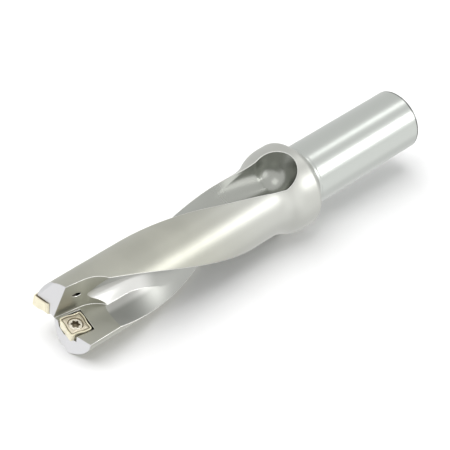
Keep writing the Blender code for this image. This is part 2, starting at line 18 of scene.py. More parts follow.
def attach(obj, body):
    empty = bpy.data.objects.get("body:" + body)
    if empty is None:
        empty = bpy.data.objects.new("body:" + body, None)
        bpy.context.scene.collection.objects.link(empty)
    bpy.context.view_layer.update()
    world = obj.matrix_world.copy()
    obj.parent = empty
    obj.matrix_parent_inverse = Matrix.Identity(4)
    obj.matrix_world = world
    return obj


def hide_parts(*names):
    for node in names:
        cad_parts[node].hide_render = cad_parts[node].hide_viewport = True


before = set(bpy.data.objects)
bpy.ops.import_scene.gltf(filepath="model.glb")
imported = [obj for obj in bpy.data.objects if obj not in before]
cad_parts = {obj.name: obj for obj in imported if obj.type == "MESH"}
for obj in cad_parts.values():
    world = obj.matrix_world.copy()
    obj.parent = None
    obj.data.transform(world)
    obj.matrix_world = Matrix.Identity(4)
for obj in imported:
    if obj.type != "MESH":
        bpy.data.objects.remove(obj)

log = logging.getLogger("indexable_drill")

FULL_TURN = 2 * math.pi
CUTTER_WELD = 1e-6
BODY_WELD = 1e-7
BODY_SHARP_DEGREES = 24
SMALL_PIECE_SHARP_DEGREES = 40

Ring = list[Vector]
Section = list[Vector]
Colour = tuple[float, float, float]


class Side(Enum):
    """The two halves of the drill: the insert that cuts the middle, and the one that cuts the wall."""

    CENTRAL = "central"
    PERIPHERAL = "peripheral"


class Slot(Enum):
    """The record's material slots."""

    STEEL = "tool_steel"
    COATING = "insert_coating"
    SCREW = "screw_steel"


class Cut(Enum):
    """How a face of the body was made. Each value is the name of the face attribute that marks it. The shaded
    recess faces, the bored holes and the clearance beside the central insert, get a painted shade.
    """

    TURNED = "turned"
    FLUTED = "fluted"
    MILLED = "milled"
    FRONT = "front"
    SHADED_RECESS = "shaded_recess"


# Meshes


def link(
    name: str, bm: bmesh.types.BMesh, place: Matrix | None = None, closed: bool = True
) -> bpy.types.Object:
    """Makes an object of the bmesh and frees it.

    Args:
        name: The object's name.
        bm: The bmesh, in the piece's own frame.
        place: The matrix that carries that frame to the drill's, or None.
        closed: True for a closed body, whose faces are then turned outwards.

    Returns:
        The linked object, at the origin.
    """
    bmesh.ops.remove_doubles(bm, verts=bm.verts, dist=CUTTER_WELD)
    if closed:
        bmesh.ops.recalc_face_normals(bm, faces=bm.faces)
    mesh = bpy.data.meshes.new(name)
    bm.to_mesh(mesh)
    bm.free()
    if place is not None:
        mesh.transform(place)
    made = bpy.data.objects.new(name, mesh)
    bpy.context.scene.collection.objects.link(made)
    return made


def smooth(piece: bpy.types.Object, sharp_degrees: float) -> None:
    """Shades the piece smooth, with its edges sharp where they turn by more than sharp_degrees."""
    piece.data.shade_smooth()
    piece.data.set_sharp_from_angle(angle=math.radians(sharp_degrees))


def tag(piece: bpy.types.Object, cuts: Iterable[Cut]) -> None:
    """Gives the piece one material slot for each cut, which its faces carry through booleans."""
    for cut in cuts:
        named = bpy.data.materials.get(cut.value) or bpy.data.materials.new(cut.value)
        piece.data.materials.append(named)


def tags_to_attributes(piece: bpy.types.Object) -> None:
    """Turns the slots that tag() gave into a face attribute for each cut, 1 on its faces and 0 elsewhere."""
    names = [material.name for material in piece.data.materials]
    indices = [polygon.material_index for polygon in piece.data.polygons]
    for cut in Cut:
        attribute = piece.data.attributes.new(cut.value, "FLOAT", "FACE")
        attribute.data.foreach_set("value", [float(names[i] == cut.value) for i in indices])
    piece.data.materials.clear()


def baked(piece: bpy.types.Object, name: str) -> bpy.types.Object:
    """Returns a plain object with the mesh that the piece's modifiers give, welded, and removes the piece."""
    evaluated = piece.evaluated_get(bpy.context.evaluated_depsgraph_get())
    mesh = bpy.data.meshes.new_from_object(evaluated)
    bm = bmesh.new()
    bm.from_mesh(mesh)
    bmesh.ops.remove_doubles(bm, verts=bm.verts, dist=BODY_WELD)
    bm.to_mesh(mesh)
    bm.free()
    bpy.data.objects.remove(piece)
    made = bpy.data.objects.new(name, mesh)
    bpy.context.scene.collection.objects.link(made)
    return made


def chain(
    bm: bmesh.types.BMesh, points: Iterable[Sequence[float]], closed: bool = False
) -> list[bmesh.types.BMEdge]:
    """Adds vertices at the points and returns the edges that join them in a row, or in a ring if closed."""
    verts = [bm.verts.new(point) for point in points]
    pairs = list(zip(verts, verts[1:]))
    if closed:
        pairs.append((verts[-1], verts[0]))
    return [bm.edges.new(pair) for pair in pairs]


def arc(
    centre: tuple[float, float], radius: float, start: float, end: float, steps: int
) -> list[tuple[float, float]]:
    """Returns points of a plane arc from the angle start to the angle end, both ends included."""
    angles = [start + (end - start) * i / steps for i in range(steps + 1)]
    return [(centre[0] + radius * math.cos(a), centre[1] + radius * math.sin(a)) for a in angles]


def joined(bm: bmesh.types.BMesh, rings: Sequence[Ring]) -> list[list[bmesh.types.BMVert]]:
    """Joins closed rings point to point by faces and returns their vertices.

    An operator that bridges loops picks its own starting points, which twists lobed and wavy rings.

    Args:
        bm: The bmesh to add to.
        rings: Rings with the same number of points.
    """
    loops = [[bm.verts.new(point) for point in ring] for ring in rings]
    for lower, upper in zip(loops, loops[1:]):
        for i in range(len(lower)):
            bm.faces.new((lower[i - 1], lower[i], upper[i], upper[i - 1]))
    return loops


def skinned(
    name: str, rings: Sequence[Ring], capped: bool, layer: str = "", shares: Sequence[float] = ()
) -> bpy.types.Object:
    """Makes a solid of closed rings of points.

    Args:
        name: The object's name.
        rings: Rings with the same number of points.
        capped: True for an end face on the first and last ring, False to join the last ring to the first.
        layer: The name of a point attribute, or nothing for none.
        shares: That attribute's value on each ring, where it has one.

    Returns:
        The linked object.
    """
    bm = bmesh.new()
    marks = bm.verts.layers.float.new(layer) if layer else None
    if not capped:
        rings, shares = [*rings, rings[0]], [*shares, *shares[:1]]
    loops = joined(bm, rings)
    for loop, share in zip(loops, shares):
        for vert in loop:
            vert[marks] = share
    if capped:
        for end in (loops[0], loops[-1]):
            bm.faces.new(end)
    return link(name, bm)


def block(name: str, low: Sequence[float], high: Sequence[float], place: Matrix) -> bpy.types.Object:
    """Makes a box between two corners in its own frame, set by the matrix place."""
    bm = bmesh.new()
    size = Vector(high) - Vector(low)
    middle = (Vector(high) + Vector(low)) / 2
    bmesh.ops.create_cube(bm, size=1, matrix=Matrix.Translation(middle) @ Matrix.Diagonal((*size, 1)))
    return link(name, bm, place)


def extruded(
    name: str, outline: Iterable[Sequence[float]], run: Sequence[float], place: Matrix | None = None
) -> bpy.types.Object:
    """Makes a prism of a plane outline, drawn out along the vector run, and set by the matrix place."""
    bm = bmesh.new()
    chain(bm, outline, closed=True)
    base = bmesh.ops.contextual_create(bm, geom=list(bm.edges))["faces"]
    top = bmesh.ops.extrude_face_region(bm, geom=base)["geom"]
    moved = [v for v in top if isinstance(v, bmesh.types.BMVert)]
    bmesh.ops.translate(bm, verts=moved, vec=run)
    return link(name, bm, place)


def prism(
    name: str, outline: Iterable[Sequence[float]], low: float, high: float, place: Matrix
) -> bpy.types.Object:
    """Makes a prism over an outline, from height low to high in its own frame, set by the matrix place."""
    return extruded(name, [(x, y, low) for x, y in outline], (0, 0, high - low), place)


def hole(
    name: str, start: Sequence[float], end: Sequence[float], diameter: float, steps: int = 48
) -> bpy.types.Object:
    """Makes a round cutter between two points."""
    bm = bmesh.new()
    run = Vector(end) - Vector(start)
    radius = diameter / 2
    bmesh.ops.create_cone(bm, cap_ends=True, segments=steps, radius1=radius, radius2=radius, depth=run.length)
    turn = run.to_track_quat("Z", "Y").to_matrix().to_4x4()
    return link(name, bm, Matrix.Translation((Vector(start) + Vector(end)) / 2) @ turn)


def leaning(direction: float, tilt: float) -> Vector:
    """Returns the unit vector that leans by tilt from the drill's axis towards the angle direction."""
    aside = math.sin(tilt)
    return Vector((aside * math.cos(direction), aside * math.sin(direction), math.cos(tilt)))


def wedge_over(name: str, point: Vector, first: Vector, second: Vector, reach: float) -> bpy.types.Object:
    """Makes a wedge over two planes that meet at a point, and returns it.

    Args:
        name: The object's name.
        point: A point that both planes pass through.
        first: The first plane's upward normal.
        second: The second plane's upward normal.
        reach: How far the wedge goes from the point.
    """
    ridge = first.cross(second).normalized()
    along = [ridge.cross(normal) for normal in (first, second)]
    runs = [run if run.dot(other) > 0 else -run for run, other in zip(along, (second, first))]
    corners = [Vector(), runs[0], runs[0] + first, runs[1] + second, runs[1]]
    return extruded(name, [point + (corner - ridge) * reach for corner in corners], ridge * 2 * reach)


def leaning_frame(direction: float, tilt: float, point: Vector) -> Matrix:
    """Returns a frame at the point whose Z axis leans by tilt from the drill's axis towards the direction."""
    out = Vector((math.cos(direction), math.sin(direction), 0))
    up = out * math.sin(tilt) + Vector((0, 0, 1)) * math.cos(tilt)
    across = up.cross(out).normalized()
    return Matrix.Translation(point) @ Matrix((across.cross(up), across, up)).transposed().to_4x4()


def eased(share: float) -> float:
    """Returns the share held between 0 and 1, with a soft start and end."""
    held = min(max(share, 0.0), 1.0)
    return held * held * (3 - 2 * held)


def cut_away(body: bpy.types.Object, cutters: Iterable[bpy.types.Object]) -> None:
    """Takes each cutter's shape out of the body, in order."""
    for cutter in cutters:
        step = body.modifiers.new(cutter.name, "BOOLEAN")
        step.operation = "DIFFERENCE"
        step.solver = "EXACT"
        step.material_mode = "TRANSFER"
        step.object = cutter


# Finishes


def shared_group(name: str, inputs: dict[str, float], outputs: dict[str, str]) -> bpy.types.ShaderNodeTree:
    """Makes an empty shader node group with float inputs and typed outputs.

    Args:
        name: The group's name.
        inputs: Each input's name and its usual value.
        outputs: Each output's name and its socket type.

    Returns:
        The node group, with its Group Input and Group Output nodes placed.
    """
    group = bpy.data.node_groups.new(name, "ShaderNodeTree")
    for socket, value in inputs.items():
        made = group.interface.new_socket(name=socket, in_out="INPUT", socket_type="NodeSocketFloat")
        made.default_value = value
    for socket, kind in outputs.items():
        group.interface.new_socket(name=socket, in_out="OUTPUT", socket_type=kind)
    group.nodes.new("NodeGroupInput")
    group.nodes.new("NodeGroupOutput")
    return group


def node(tree: bpy.types.NodeTree, kind: str, **settings: object) -> bpy.types.Node:
    """Adds a node of the kind, with its settings, and returns it."""
    made = tree.nodes.new(kind)
    for key, value in settings.items():
        setattr(made, key, value)
    return made


def maths(tree: bpy.types.NodeTree, operation: str, *values: object) -> bpy.types.NodeSocket:
    """Adds a Math node whose inputs are numbers or sockets, and returns its output."""
    made = node(tree, "ShaderNodeMath", operation=operation)
    for socket, value in zip(made.inputs, values):
        if isinstance(value, bpy.types.NodeSocket):
            tree.links.new(value, socket)
        else:
            socket.default_value = value
    return made.outputs[0]


def ramp(
    tree: bpy.types.NodeTree, value: bpy.types.NodeSocket, low: float, high: float
) -> bpy.types.NodeSocket:
    """Returns a soft mask that is 0 where value is at low and 1 where it is at high."""
    made = node(tree, "ShaderNodeMapRange", interpolation_type="SMOOTHSTEP")
    made.inputs["From Min"].default_value = low
    made.inputs["From Max"].default_value = high
    tree.links.new(value, made.inputs["Value"])
    return made.outputs["Result"]


def mixed(
    tree: bpy.types.NodeTree, mask: bpy.types.NodeSocket, first: object, second: object
) -> bpy.types.NodeSocket:
    """Returns the colour that goes from first to second, each a socket or a colour, as mask goes up to 1."""
    made = node(tree, "ShaderNodeMix", data_type="RGBA")
    tree.links.new(mask, made.inputs["Factor"])
    for socket, value in ((made.inputs["A"], first), (made.inputs["B"], second)):
        if isinstance(value, bpy.types.NodeSocket):
            tree.links.new(value, socket)
        else:
            socket.default_value = (*value, 1.0)
    return made.outputs["Result"]


@dataclass(frozen=True)
class GrindingMarks:
    """A shared group: fine rings round the axis, as a grinding wheel or a lathe leaves them."""

    name: str = "grinding_marks"

    def build(self) -> bpy.types.ShaderNodeTree:
        """Returns the group, with a mask of the marks, from 0 to 1, and a cloudy variation beside it."""
        group = shared_group(
            self.name,
            {"Fineness": 4000.0, "Round Fineness": 30.0},
            {"Marks": "NodeSocketFloat", "Cloud": "NodeSocketFloat"},
        )
        inner, outer = group.nodes["Group Input"], group.nodes["Group Output"]
        where = node(group, "ShaderNodeTexCoord")
        parts = node(group, "ShaderNodeSeparateXYZ")
        group.links.new(where.outputs["Object"], parts.inputs[0])
        across = node(group, "ShaderNodeCombineXYZ")
        for axis in ("X", "Y"):
            scaled = maths(group, "MULTIPLY", parts.outputs[axis], inner.outputs["Round Fineness"])
            group.links.new(scaled, across.inputs[axis])
        along = maths(group, "MULTIPLY", parts.outputs["Z"], inner.outputs["Fineness"])
        group.links.new(along, across.inputs["Z"])
        lines = node(group, "ShaderNodeTexNoise")
        lines.inputs["Scale"].default_value = 1.0
        lines.inputs["Detail"].default_value = 3.0
        lines.inputs["Roughness"].default_value = 0.6
        group.links.new(across.outputs[0], lines.inputs["Vector"])
        group.links.new(lines.outputs["Fac"], outer.inputs["Marks"])
        cloud = node(group, "ShaderNodeTexNoise")
        cloud.inputs["Scale"].default_value = 60.0
        cloud.inputs["Detail"].default_value = 4.0
        group.links.new(where.outputs["Object"], cloud.inputs["Vector"])
        group.links.new(cloud.outputs["Fac"], outer.inputs["Cloud"])
        return group


@dataclass(frozen=True)
class BrokenEdges:
    """A shared group: edges rounded by a brush, and a mask of where they shine."""

    name: str = "broken_edges"
    samples: int = 8
    width: float = 0.00045
    mask_low: float = 0.02
    mask_high: float = 0.14

    def build(self) -> bpy.types.ShaderNodeTree:
        """Returns the group, with the mask, from 0 to 1, and the rounded normal."""
        group = shared_group(
            self.name,
            {"Width": self.width},
            {"Mask": "NodeSocketFloat", "Normal": "NodeSocketVector"},
        )
        inner, outer = group.nodes["Group Input"], group.nodes["Group Output"]
        rounded = node(group, "ShaderNodeBevel", samples=self.samples)
        group.links.new(inner.outputs["Width"], rounded.inputs["Radius"])
        flat = node(group, "ShaderNodeNewGeometry")
        turned = node(group, "ShaderNodeVectorMath", operation="DOT_PRODUCT")
        group.links.new(rounded.outputs[0], turned.inputs[0])
        group.links.new(flat.outputs["Normal"], turned.inputs[1])
        away = maths(group, "SUBTRACT", 1.0, turned.outputs["Value"])
        group.links.new(ramp(group, away, self.mask_low, self.mask_high), outer.inputs["Mask"])
        group.links.new(rounded.outputs[0], outer.inputs["Normal"])
        return group


def principled(name: str) -> tuple[bpy.types.Material, bpy.types.NodeTree, bpy.types.Node]:
    """Makes a node material and returns it with its tree and its Principled shader."""
    made = bpy.data.materials.new(name)
    made.use_nodes = True
    tree = made.node_tree
    return made, tree, tree.nodes["Principled BSDF"]


@dataclass(frozen=True)
class SteelFinish:
    """The body's finish: satin steel with a ground shank and paler front faces, with painted light on it:
    painted highlights on its polished edges and on the flute floor near the tip, and painted shade in its
    flutes, holes and shank-end chamfer.

    A pair of lengths or shares says where a soft mask starts and where it is full.
    """

    satin: Colour = (0.44, 0.44, 0.385)
    collar: Colour = (0.47, 0.475, 0.445)
    # Painted shade: the flutes' darker grey by the collar, where they are also glossier.
    fluted: Colour = (0.37, 0.38, 0.35)
    # Painted shade: a darker grey on the flute faces.
    hollow: Colour = (0.37, 0.375, 0.355)
    # Painted highlight: a pale grey on the flute floor near the axis, towards the tip.
    core_highlight: Colour = (0.60, 0.60, 0.58)
    shank: Colour = (0.47, 0.49, 0.465)
    front: Colour = (0.63, 0.63, 0.64)
    # Painted shade: a near-black brown in the holes and in the clearance beside the central insert.
    shaded_recess: Colour = (0.10, 0.095, 0.075)
    # Painted shade: a dark band on the chamfer at the shank's end.
    chamfer_shade: Colour = (0.12, 0.125, 0.12)
    # Painted highlight: the near-white colour of the broken edges.
    edge: Colour = (0.96, 0.96, 0.93)
    satin_roughness: float = 0.39
    fluted_roughness: float = 0.22
    shank_roughness: float = 0.27
    edge_roughness: float = 0.30
    roughness_spread: float = 0.06
    tone_spread: float = 0.92
    bump_strength: float = 0.25
    bump_distance: float = 0.00002
    cloud_tones: tuple[float, float] = (0.35, 0.65)
    end_rim_shade: tuple[float, float] = (0.0017, 0.0014)
    end_face: tuple[float, float] = (0.0, 0.0001)
    shank_top: tuple[float, float] = (0.0574, 0.0568)
    # Heights from which the edges get their painted highlight and their own roughness.
    polished_and_highlit_from: tuple[float, float] = (0.0640, 0.0660)
    collar_tone: tuple[float, float] = (0.1300, 0.0800)
    core_highlight_radius: tuple[float, float] = (0.0078, 0.0055)
    core_highlight_start: tuple[float, float] = (0.1340, 0.1420)
    front_tone: tuple[float, float] = (0.1705, 0.1725)

    def build(self, marks: bpy.types.ShaderNodeTree, edges: bpy.types.ShaderNodeTree) -> bpy.types.Material:
        """Returns the material. It reads the face attributes that tell how each face was cut.

        Args:
            marks: The shared group of grinding marks.
            edges: The shared group of broken edges.
        """
        made, tree, shader = principled("satin_steel")
        shader.inputs["Metallic"].default_value = 1.0
        where = node(tree, "ShaderNodeTexCoord")
        parts = node(tree, "ShaderNodeSeparateXYZ")
        tree.links.new(where.outputs["Object"], parts.inputs[0])
        height = parts.outputs["Z"]
        marked = {cut: node(tree, "ShaderNodeAttribute", attribute_name=cut.value) for cut in Cut}
        on = {cut: attribute.outputs["Fac"] for cut, attribute in marked.items()}
        on_shank = ramp(tree, height, *self.shank_top)
        by_collar = ramp(tree, height, *self.collar_tone)
        low_flute_shade_and_gloss = maths(tree, "MULTIPLY", on[Cut.FLUTED], by_collar)
        flat = node(tree, "ShaderNodeCombineXYZ")
        for axis in ("X", "Y"):
            tree.links.new(parts.outputs[axis], flat.inputs[axis])
        radius = node(tree, "ShaderNodeVectorMath", operation="LENGTH")
        tree.links.new(flat.outputs[0], radius.inputs[0])
        # Painted highlight on the flute floor near the axis, towards the tip.
        by_core_highlight = ramp(tree, radius.outputs["Value"], *self.core_highlight_radius)
        by_core_highlight = maths(tree, "MULTIPLY", by_core_highlight, ramp(tree, height, *self.core_highlight_start))
        on_core_highlight = maths(tree, "MULTIPLY", by_core_highlight, on[Cut.FLUTED])
        texture = node(tree, "ShaderNodeGroup", node_tree=marks)
        cloud, lines = texture.outputs["Cloud"], texture.outputs["Marks"]
        darker = tuple(c * self.tone_spread for c in self.satin)
        colour = mixed(tree, ramp(tree, cloud, *self.cloud_tones), darker, self.satin)
        colour = mixed(tree, by_collar, colour, self.collar)
        # Painted shade: the flute faces get a darker grey, and by the collar a glossier one.
        colour = mixed(tree, on[Cut.FLUTED], colour, self.hollow)
        colour = mixed(tree, low_flute_shade_and_gloss, colour, self.fluted)
        colour = mixed(tree, on_core_highlight, colour, self.core_highlight)
        colour = mixed(tree, on_shank, colour, self.shank)
        # Painted shade on the chamfer at the shank's end.
        above_end = ramp(tree, height, *self.end_face)
        on_chamfer_shade = maths(tree, "MULTIPLY", ramp(tree, height, *self.end_rim_shade), above_end)
        colour = mixed(tree, on_chamfer_shade, colour, self.chamfer_shade)
        colour = mixed(tree, on[Cut.FRONT], colour, self.front)
        # Painted shade in the holes and in the clearance beside the central insert.
        colour = mixed(tree, on[Cut.SHADED_RECESS], colour, self.shaded_recess)
        near_front = ramp(tree, height, *self.front_tone)
        # Painted highlight: the broken edges get a near-white colour, which becomes the front faces' colour
        # at the tip.
        rim = mixed(tree, near_front, self.edge, self.front)
        broken = node(tree, "ShaderNodeGroup", node_tree=edges)
        past_neck = ramp(tree, height, *self.polished_and_highlit_from)
        on_highlit_edge = maths(tree, "MULTIPLY", broken.outputs["Mask"], past_neck)
        colour = mixed(tree, on_highlit_edge, colour, rim)
        tree.links.new(colour, shader.inputs["Base Color"])
        uneven = maths(tree, "MULTIPLY", lines, self.roughness_spread)
        rough = maths(tree, "ADD", self.satin_roughness, uneven)
        less = maths(tree, "MULTIPLY", on_shank, self.satin_roughness - self.shank_roughness)
        rough = maths(tree, "SUBTRACT", rough, less)
        smoother = maths(tree, "MULTIPLY", low_flute_shade_and_gloss, self.satin_roughness - self.fluted_roughness)
        rough = maths(tree, "SUBTRACT", rough, smoother)
        more = maths(tree, "MULTIPLY", on_highlit_edge, self.edge_roughness - self.satin_roughness)
        tree.links.new(maths(tree, "ADD", rough, more), shader.inputs["Roughness"])
        bump = node(tree, "ShaderNodeBump")
        bump.inputs["Strength"].default_value = self.bump_strength
        bump.inputs["Distance"].default_value = self.bump_distance
        tree.links.new(lines, bump.inputs["Height"])
        tree.links.new(broken.outputs["Normal"], bump.inputs["Normal"])
        tree.links.new(bump.outputs["Normal"], shader.inputs["Normal"])
        return made


@dataclass(frozen=True)
class CoatingFinish:
    """The inserts' finish: a pale gold coating, browner in the middle of the rake face, with a dark line of
    painted shade in its chip groove.
    """

    rim: Colour = (0.85, 0.80, 0.61)
    middle: Colour = (0.66, 0.60, 0.47)
    # Painted shade: the dark line in the chip groove.
    line: Colour = (0.12, 0.09, 0.05)
    least_roughness: float = 0.28
    roughness_spread: float = 0.1
    metallic: float = 0.55
    patch_range: tuple[float, float] = (0.1, 0.5)
    groove_shade_range: tuple[float, float] = (0.45, 0.15)
    grain_strength: float = 0.3
    grain_scale: float = 2500.0
    grain_distance: float = 0.00001

    def build(self) -> bpy.types.Material:
        """Returns the material. It reads the insert's own rim attribute."""
        made, tree, shader = principled("gold_coating")
        shader.inputs["Metallic"].default_value = self.metallic
        rim = node(tree, "ShaderNodeAttribute", attribute_name="rim")
        where = node(tree, "ShaderNodeTexCoord")
        grain = node(tree, "ShaderNodeTexNoise")
        grain.inputs["Scale"].default_value = self.grain_scale
        grain.inputs["Detail"].default_value = 3.0
        tree.links.new(where.outputs["Object"], grain.inputs["Vector"])
        # The rim is paler in patches that follow a fine noise.
        paler_rim_patches = ramp(tree, grain.outputs["Fac"], *self.patch_range)
        paler_rim_patches = maths(tree, "MULTIPLY", rim.outputs["Fac"], paler_rim_patches)
        colour = mixed(tree, paler_rim_patches, self.middle, self.rim)
        # Painted shade: a dark line where the rim share is half, on the slope of the chip groove.
        distance = maths(tree, "ABSOLUTE", maths(tree, "SUBTRACT", rim.outputs["Fac"], 0.5))
        colour = mixed(tree, ramp(tree, distance, *self.groove_shade_range), colour, self.line)
        tree.links.new(colour, shader.inputs["Base Color"])
        uneven = maths(tree, "MULTIPLY", grain.outputs["Fac"], self.roughness_spread)
        rough = maths(tree, "ADD", self.least_roughness, uneven)
        tree.links.new(rough, shader.inputs["Roughness"])
        bump = node(tree, "ShaderNodeBump")
        bump.inputs["Strength"].default_value = self.grain_strength
        bump.inputs["Distance"].default_value = self.grain_distance
        tree.links.new(grain.outputs["Fac"], bump.inputs["Height"])
        tree.links.new(bump.outputs["Normal"], shader.inputs["Normal"])
        return made


@dataclass(frozen=True)
class ScrewFinish:
    """The screws' finish: pale polished steel, a little warm, with painted shade in its recess."""

    bright: Colour = (0.95, 0.90, 0.80)
    dull: Colour = (0.80, 0.74, 0.63)
    # Painted shade: a dark brown in the screw's recess.
    recess: Colour = (0.26, 0.22, 0.15)
    roughness: float = 0.24
    roughness_spread: float = 0.08
    metallic: float = 0.6
    grain_scale: float = 1400.0
    patch_range: tuple[float, float] = (0.25, 0.6)

    def build(self) -> bpy.types.Material:
        """Returns the material. It reads the screw's own recess attribute."""
        made, tree, shader = principled("screw_steel_finish")
        shader.inputs["Metallic"].default_value = self.metallic
        where = node(tree, "ShaderNodeTexCoord")
        grain = node(tree, "ShaderNodeTexNoise")
        grain.inputs["Scale"].default_value = self.grain_scale
        grain.inputs["Detail"].default_value = 4.0
        tree.links.new(where.outputs["Object"], grain.inputs["Vector"])
        colour = mixed(tree, ramp(tree, grain.outputs["Fac"], *self.patch_range), self.dull, self.bright)
        # Painted shade in the recess.
        recess_shade_mask = node(tree, "ShaderNodeAttribute", attribute_name="recess")
        colour = mixed(tree, recess_shade_mask.outputs["Fac"], colour, self.recess)
        tree.links.new(colour, shader.inputs["Base Color"])
        uneven = maths(tree, "MULTIPLY", grain.outputs["Fac"], self.roughness_spread)
        rough = maths(tree, "ADD", self.roughness, uneven)
        tree.links.new(rough, shader.inputs["Roughness"])
        return made


# The drill


@dataclass(frozen=True)
class FluteSection:
    """The section of a flute across the axis, before it is turned up the helix."""

    leading: float
    heel: float
    root_offset: float
    root_turn: float
    root_radius: float
    crest: float = 0.0
    step: float = 0.0
    flat: float = 0.0
    root_steps: int = 36
    wall_steps: int = 8
    foot_shift: float = 0.03
    overshoot: float = 0.8

    def outline(self, body_radius: float) -> Section:
        """Returns its points from outside the leading wall round the root to outside the heel wall.

        Args:
            body_radius: Radius of the cylinder that the flute is cut into.
        """
        centre = Vector((math.cos(self.root_turn), math.sin(self.root_turn))) * self.root_offset
        rims = [Vector((math.cos(a), math.sin(a))) * body_radius for a in (-self.leading, self.heel)]
        ways = [rim - centre for rim in rims]
        spans = [math.acos(self.root_radius / way.length) for way in ways]
        first = math.atan2(ways[0].y, ways[0].x) - spans[0] + FULL_TURN - self.crest
        last = math.atan2(ways[1].y, ways[1].x) + spans[1]
        root = [Vector(p) for p in arc(tuple(centre), self.root_radius, first, last, self.root_steps)]
        flattened = round(self.flat * self.root_steps)
        for i in range(1, flattened):
            share = i / flattened
            chord = root[0].lerp(root[flattened], share)
            root[i] = root[i].lerp(chord, 1 - share**3)
        feet = [root[0] + Vector((math.cos(first), math.sin(first))) * self.step, root[-1]]
        feet = [foot.lerp(rim, self.foot_shift) for foot, rim in zip(feet, rims)]
        shares = [i / self.wall_steps for i in range(self.wall_steps + 1)]
        leading = [rims[0].lerp(feet[0], share) for share in shares]
        heel = [feet[1].lerp(rims[1], share) for share in shares]
        ways_out = [(rim - foot).normalized() for foot, rim in zip(feet, rims)]
        beyond = [rim + way * body_radius * self.overshoot for way, rim in zip(ways_out, rims)]
        return [beyond[0], *leading, *root, *heel, beyond[1], beyond[0].lerp(beyond[1], 0.5)]

    def half(self, body_radius: float) -> Section:
        """Returns the heel half of an even section, from its root's middle to its outside's middle."""
        return self.outline(body_radius)[2 + self.wall_steps + self.root_steps // 2 :]

    def toward(self, other: "FluteSection", share: float, body_radius: float) -> Section:
        """Returns the outline that lies the share of the way from this section to another."""
        return [a.lerp(b, share) for a, b in zip(self.outline(body_radius), other.outline(body_radius))]


@dataclass(frozen=True)
class Helix:
    """The helix that both flutes follow, and the run of heights along it."""

    lead: float = 0.2280
    zero: float = 0.1334
    low: float = 0.0750
    high: float = 0.1679
    steps: int = 96

    def place(self, z: float, turn: float = 0.0) -> Matrix:
        """Returns the matrix that carries a section up the helix to height z, with a further turn."""
        angle = FULL_TURN * (z - self.zero) / self.lead + turn
        return Matrix.Translation((0, 0, z)) @ Matrix.Rotation(angle, 4, "Z")

    def heights(self, low: float, high: float) -> list[float]:
        """Returns even heights from low to high."""
        return [low + (high - low) * i / self.steps for i in range(self.steps + 1)]


